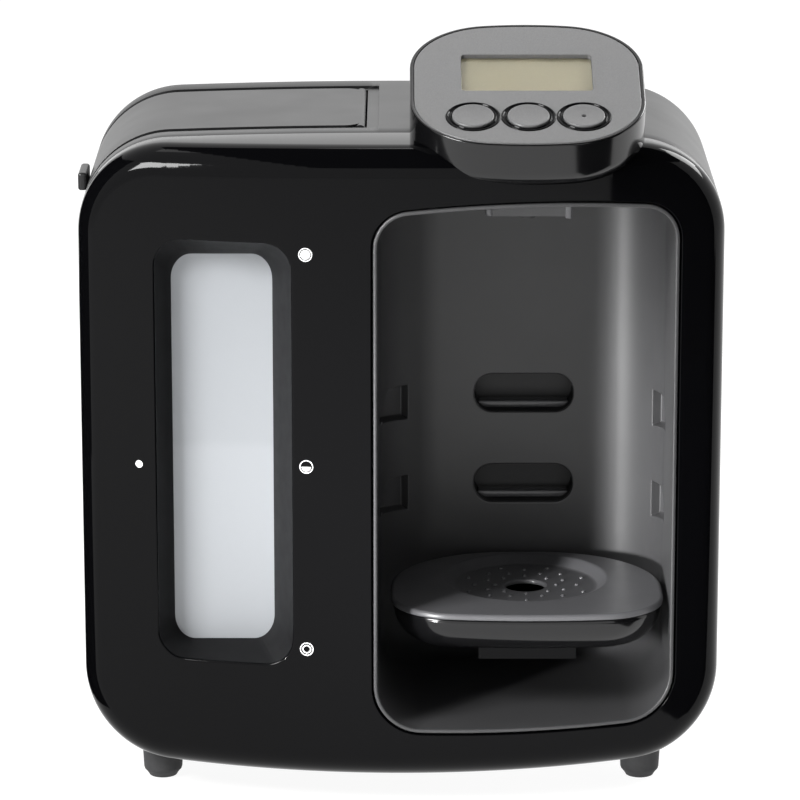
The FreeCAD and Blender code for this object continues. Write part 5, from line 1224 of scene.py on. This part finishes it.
# %% Sizes of the lid
LID_WALL, LID_EDGE, LID_CORNER, TANGENTS, LID_SOFT = 3, -18.2, 7, 12, 0.6
LID_AXIS, BARREL, BORE, BARREL_GAP = Vector((-17.9, 0, 293.6)), 2.35, 1.2, 0.2
TAB_FRONT, TAB_WIDTH, TAB_LOW, TAB_HEIGHT, TAB_REACH, TAB_ROOT = 0, 22, 262, 8, 2.6, 1.4

# %% Lid
bm = bmesh.new()
casing_loop(bm, y=LID_FRONT, corner_steps=28, edge_steps=60)
for co, no in (((LID_EDGE, 0, 0), (1, 0, 0)), ((0, 0, LID_LOW), (0, 0, -1))):
    cut_along(bm, co, no, clear_outer=True)
extrude_loop(bm, bm.edges[:], (0, LID_BACK - LID_FRONT, 0))
for end, side in ((LID_FRONT, -1), (LID_BACK, 1)):
    middle = Vector((LID_EDGE - LID_CORNER, end - side * LID_CORNER, 0))
    for step in range(1, TANGENTS):
        turn = step / TANGENTS * math.pi / 2
        outwards = Vector((math.cos(turn), side * math.sin(turn), 0))
        cut_along(bm, middle + outwards * LID_CORNER, outwards, clear_outer=True)
finish_piece(bm, "tank_lid_panel", satin_black, "lid", ["tank_lid"], sharp=60,
             facing=((-80, 20, 296), (0, 0, 1)), wall=LID_WALL, soft=LID_SOFT)

bm = bmesh.new()
add_box(bm, (TAB_REACH + TAB_ROOT, TAB_WIDTH, TAB_HEIGHT),
        (-CASING_HALF - TAB_REACH + (TAB_REACH + TAB_ROOT) / 2, TAB_FRONT + TAB_WIDTH / 2,
         TAB_LOW + TAB_HEIGHT / 2))
round_edges(bm, bm.edges[:], 1.3, segments=5)
finish_piece(bm, "lid_finger_tab", satin_black, "lid", sharp=60)

bm = bmesh.new()
near_y, far_y = LID_FRONT + BARREL_GAP, LID_BACK - BARREL_GAP
tube = [draw_circle(bm, LID_AXIS.x, LID_AXIS.z, radius, y=y, steps=32)
        for radius, y in ((BORE, near_y), (BARREL, near_y), (BARREL, far_y), (BORE, far_y))]
loft(bm, [*tube, tube[0]])
finish_piece(bm, "lid_hinge_barrel", satin_black, "lid", calm=False)

# %% [markdown]
# ## Feet
# Four rubber feet, lathe shapes with a rounded sole and a slight flare towards the casing, reach up into it.

# %% Feet
FOOT_PROFILE = [(0, 0), (5.4, 0), (6.2, 0.3), (6.6, 1.0), (7.4, 2.2), (8.3, 3.2), (8.6, 4.2), (9.25, 16.4),
                (0, 16.4)]
FOOT_X, FOOT_Y = (-107, 107), (-27, 60)
bm = bmesh.new()
for x in FOOT_X:
    for y in FOOT_Y:
        turn_profile(bm, [(x + radius, y, height) for radius, height in FOOT_PROFILE], (x, y, 0),
                     (0, 0, 1), 48)
finish_piece(bm, "rubber_feet", foot_rubber, "machine", ["feet"])

# %% [markdown]
# ## Printed marks
# Three round marks beside the window show the water levels, full, half and empty, and a single dot sits on
# the other side. They are pad-printed in white: thin films, 0.06 mm proud, turned to follow the bulge.

# %% Printed marks
FILM_THICK, FILM_RISE, MARK_RING = 0.12, 0.06, (3.0, 2.55, False)


def print_disc(bm, outer, inner, half):
    """A flat ring or disc about the origin, in the plane of the front, with its film's thickness."""
    walls = [[draw_circle(bm, 0, 0, radius, y=y) for y in (FILM_THICK, 0)]
             for radius in (outer, inner) if radius]
    for wall in walls:
        loft(bm, wall)
    for level in (0, 1):
        fill_between(bm, [wall[level] for wall in walls])
    if half:
        slice_away(bm, (0, 0, 0), (0, 0, 1))


def add_mark(bm, x, z, *discs):
    for outer, inner, half in discs:
        film = bmesh.new()
        print_disc(film, outer, inner, half)
        lean = math.asin(x / BULGE)
        bmesh.ops.rotate(film, verts=film.verts[:], cent=(0, 0, 0), matrix=Matrix.Rotation(lean, 3, "Z"))
        bmesh.ops.translate(film, verts=film.verts[:], vec=(x, face_y(x) - FILM_RISE, z))
        held = bpy.data.meshes.new("film")
        film.to_mesh(held)
        film.free()
        bm.from_mesh(held)
        bpy.data.meshes.remove(held)


bm = bmesh.new()
add_mark(bm, -41.0, 250.1, MARK_RING, (2.1, 0, False))
add_mark(bm, -41.0, 156.4, MARK_RING, (2.05, 0, True))
add_mark(bm, -41.2, 74.0, MARK_RING, (1.95, 1.4, False))
add_mark(bm, -114.0, 153.3, (1.7, 0, False))
finish_piece(bm, "printed_level_marks", white_print, "machine", sharp=32, calm=False)
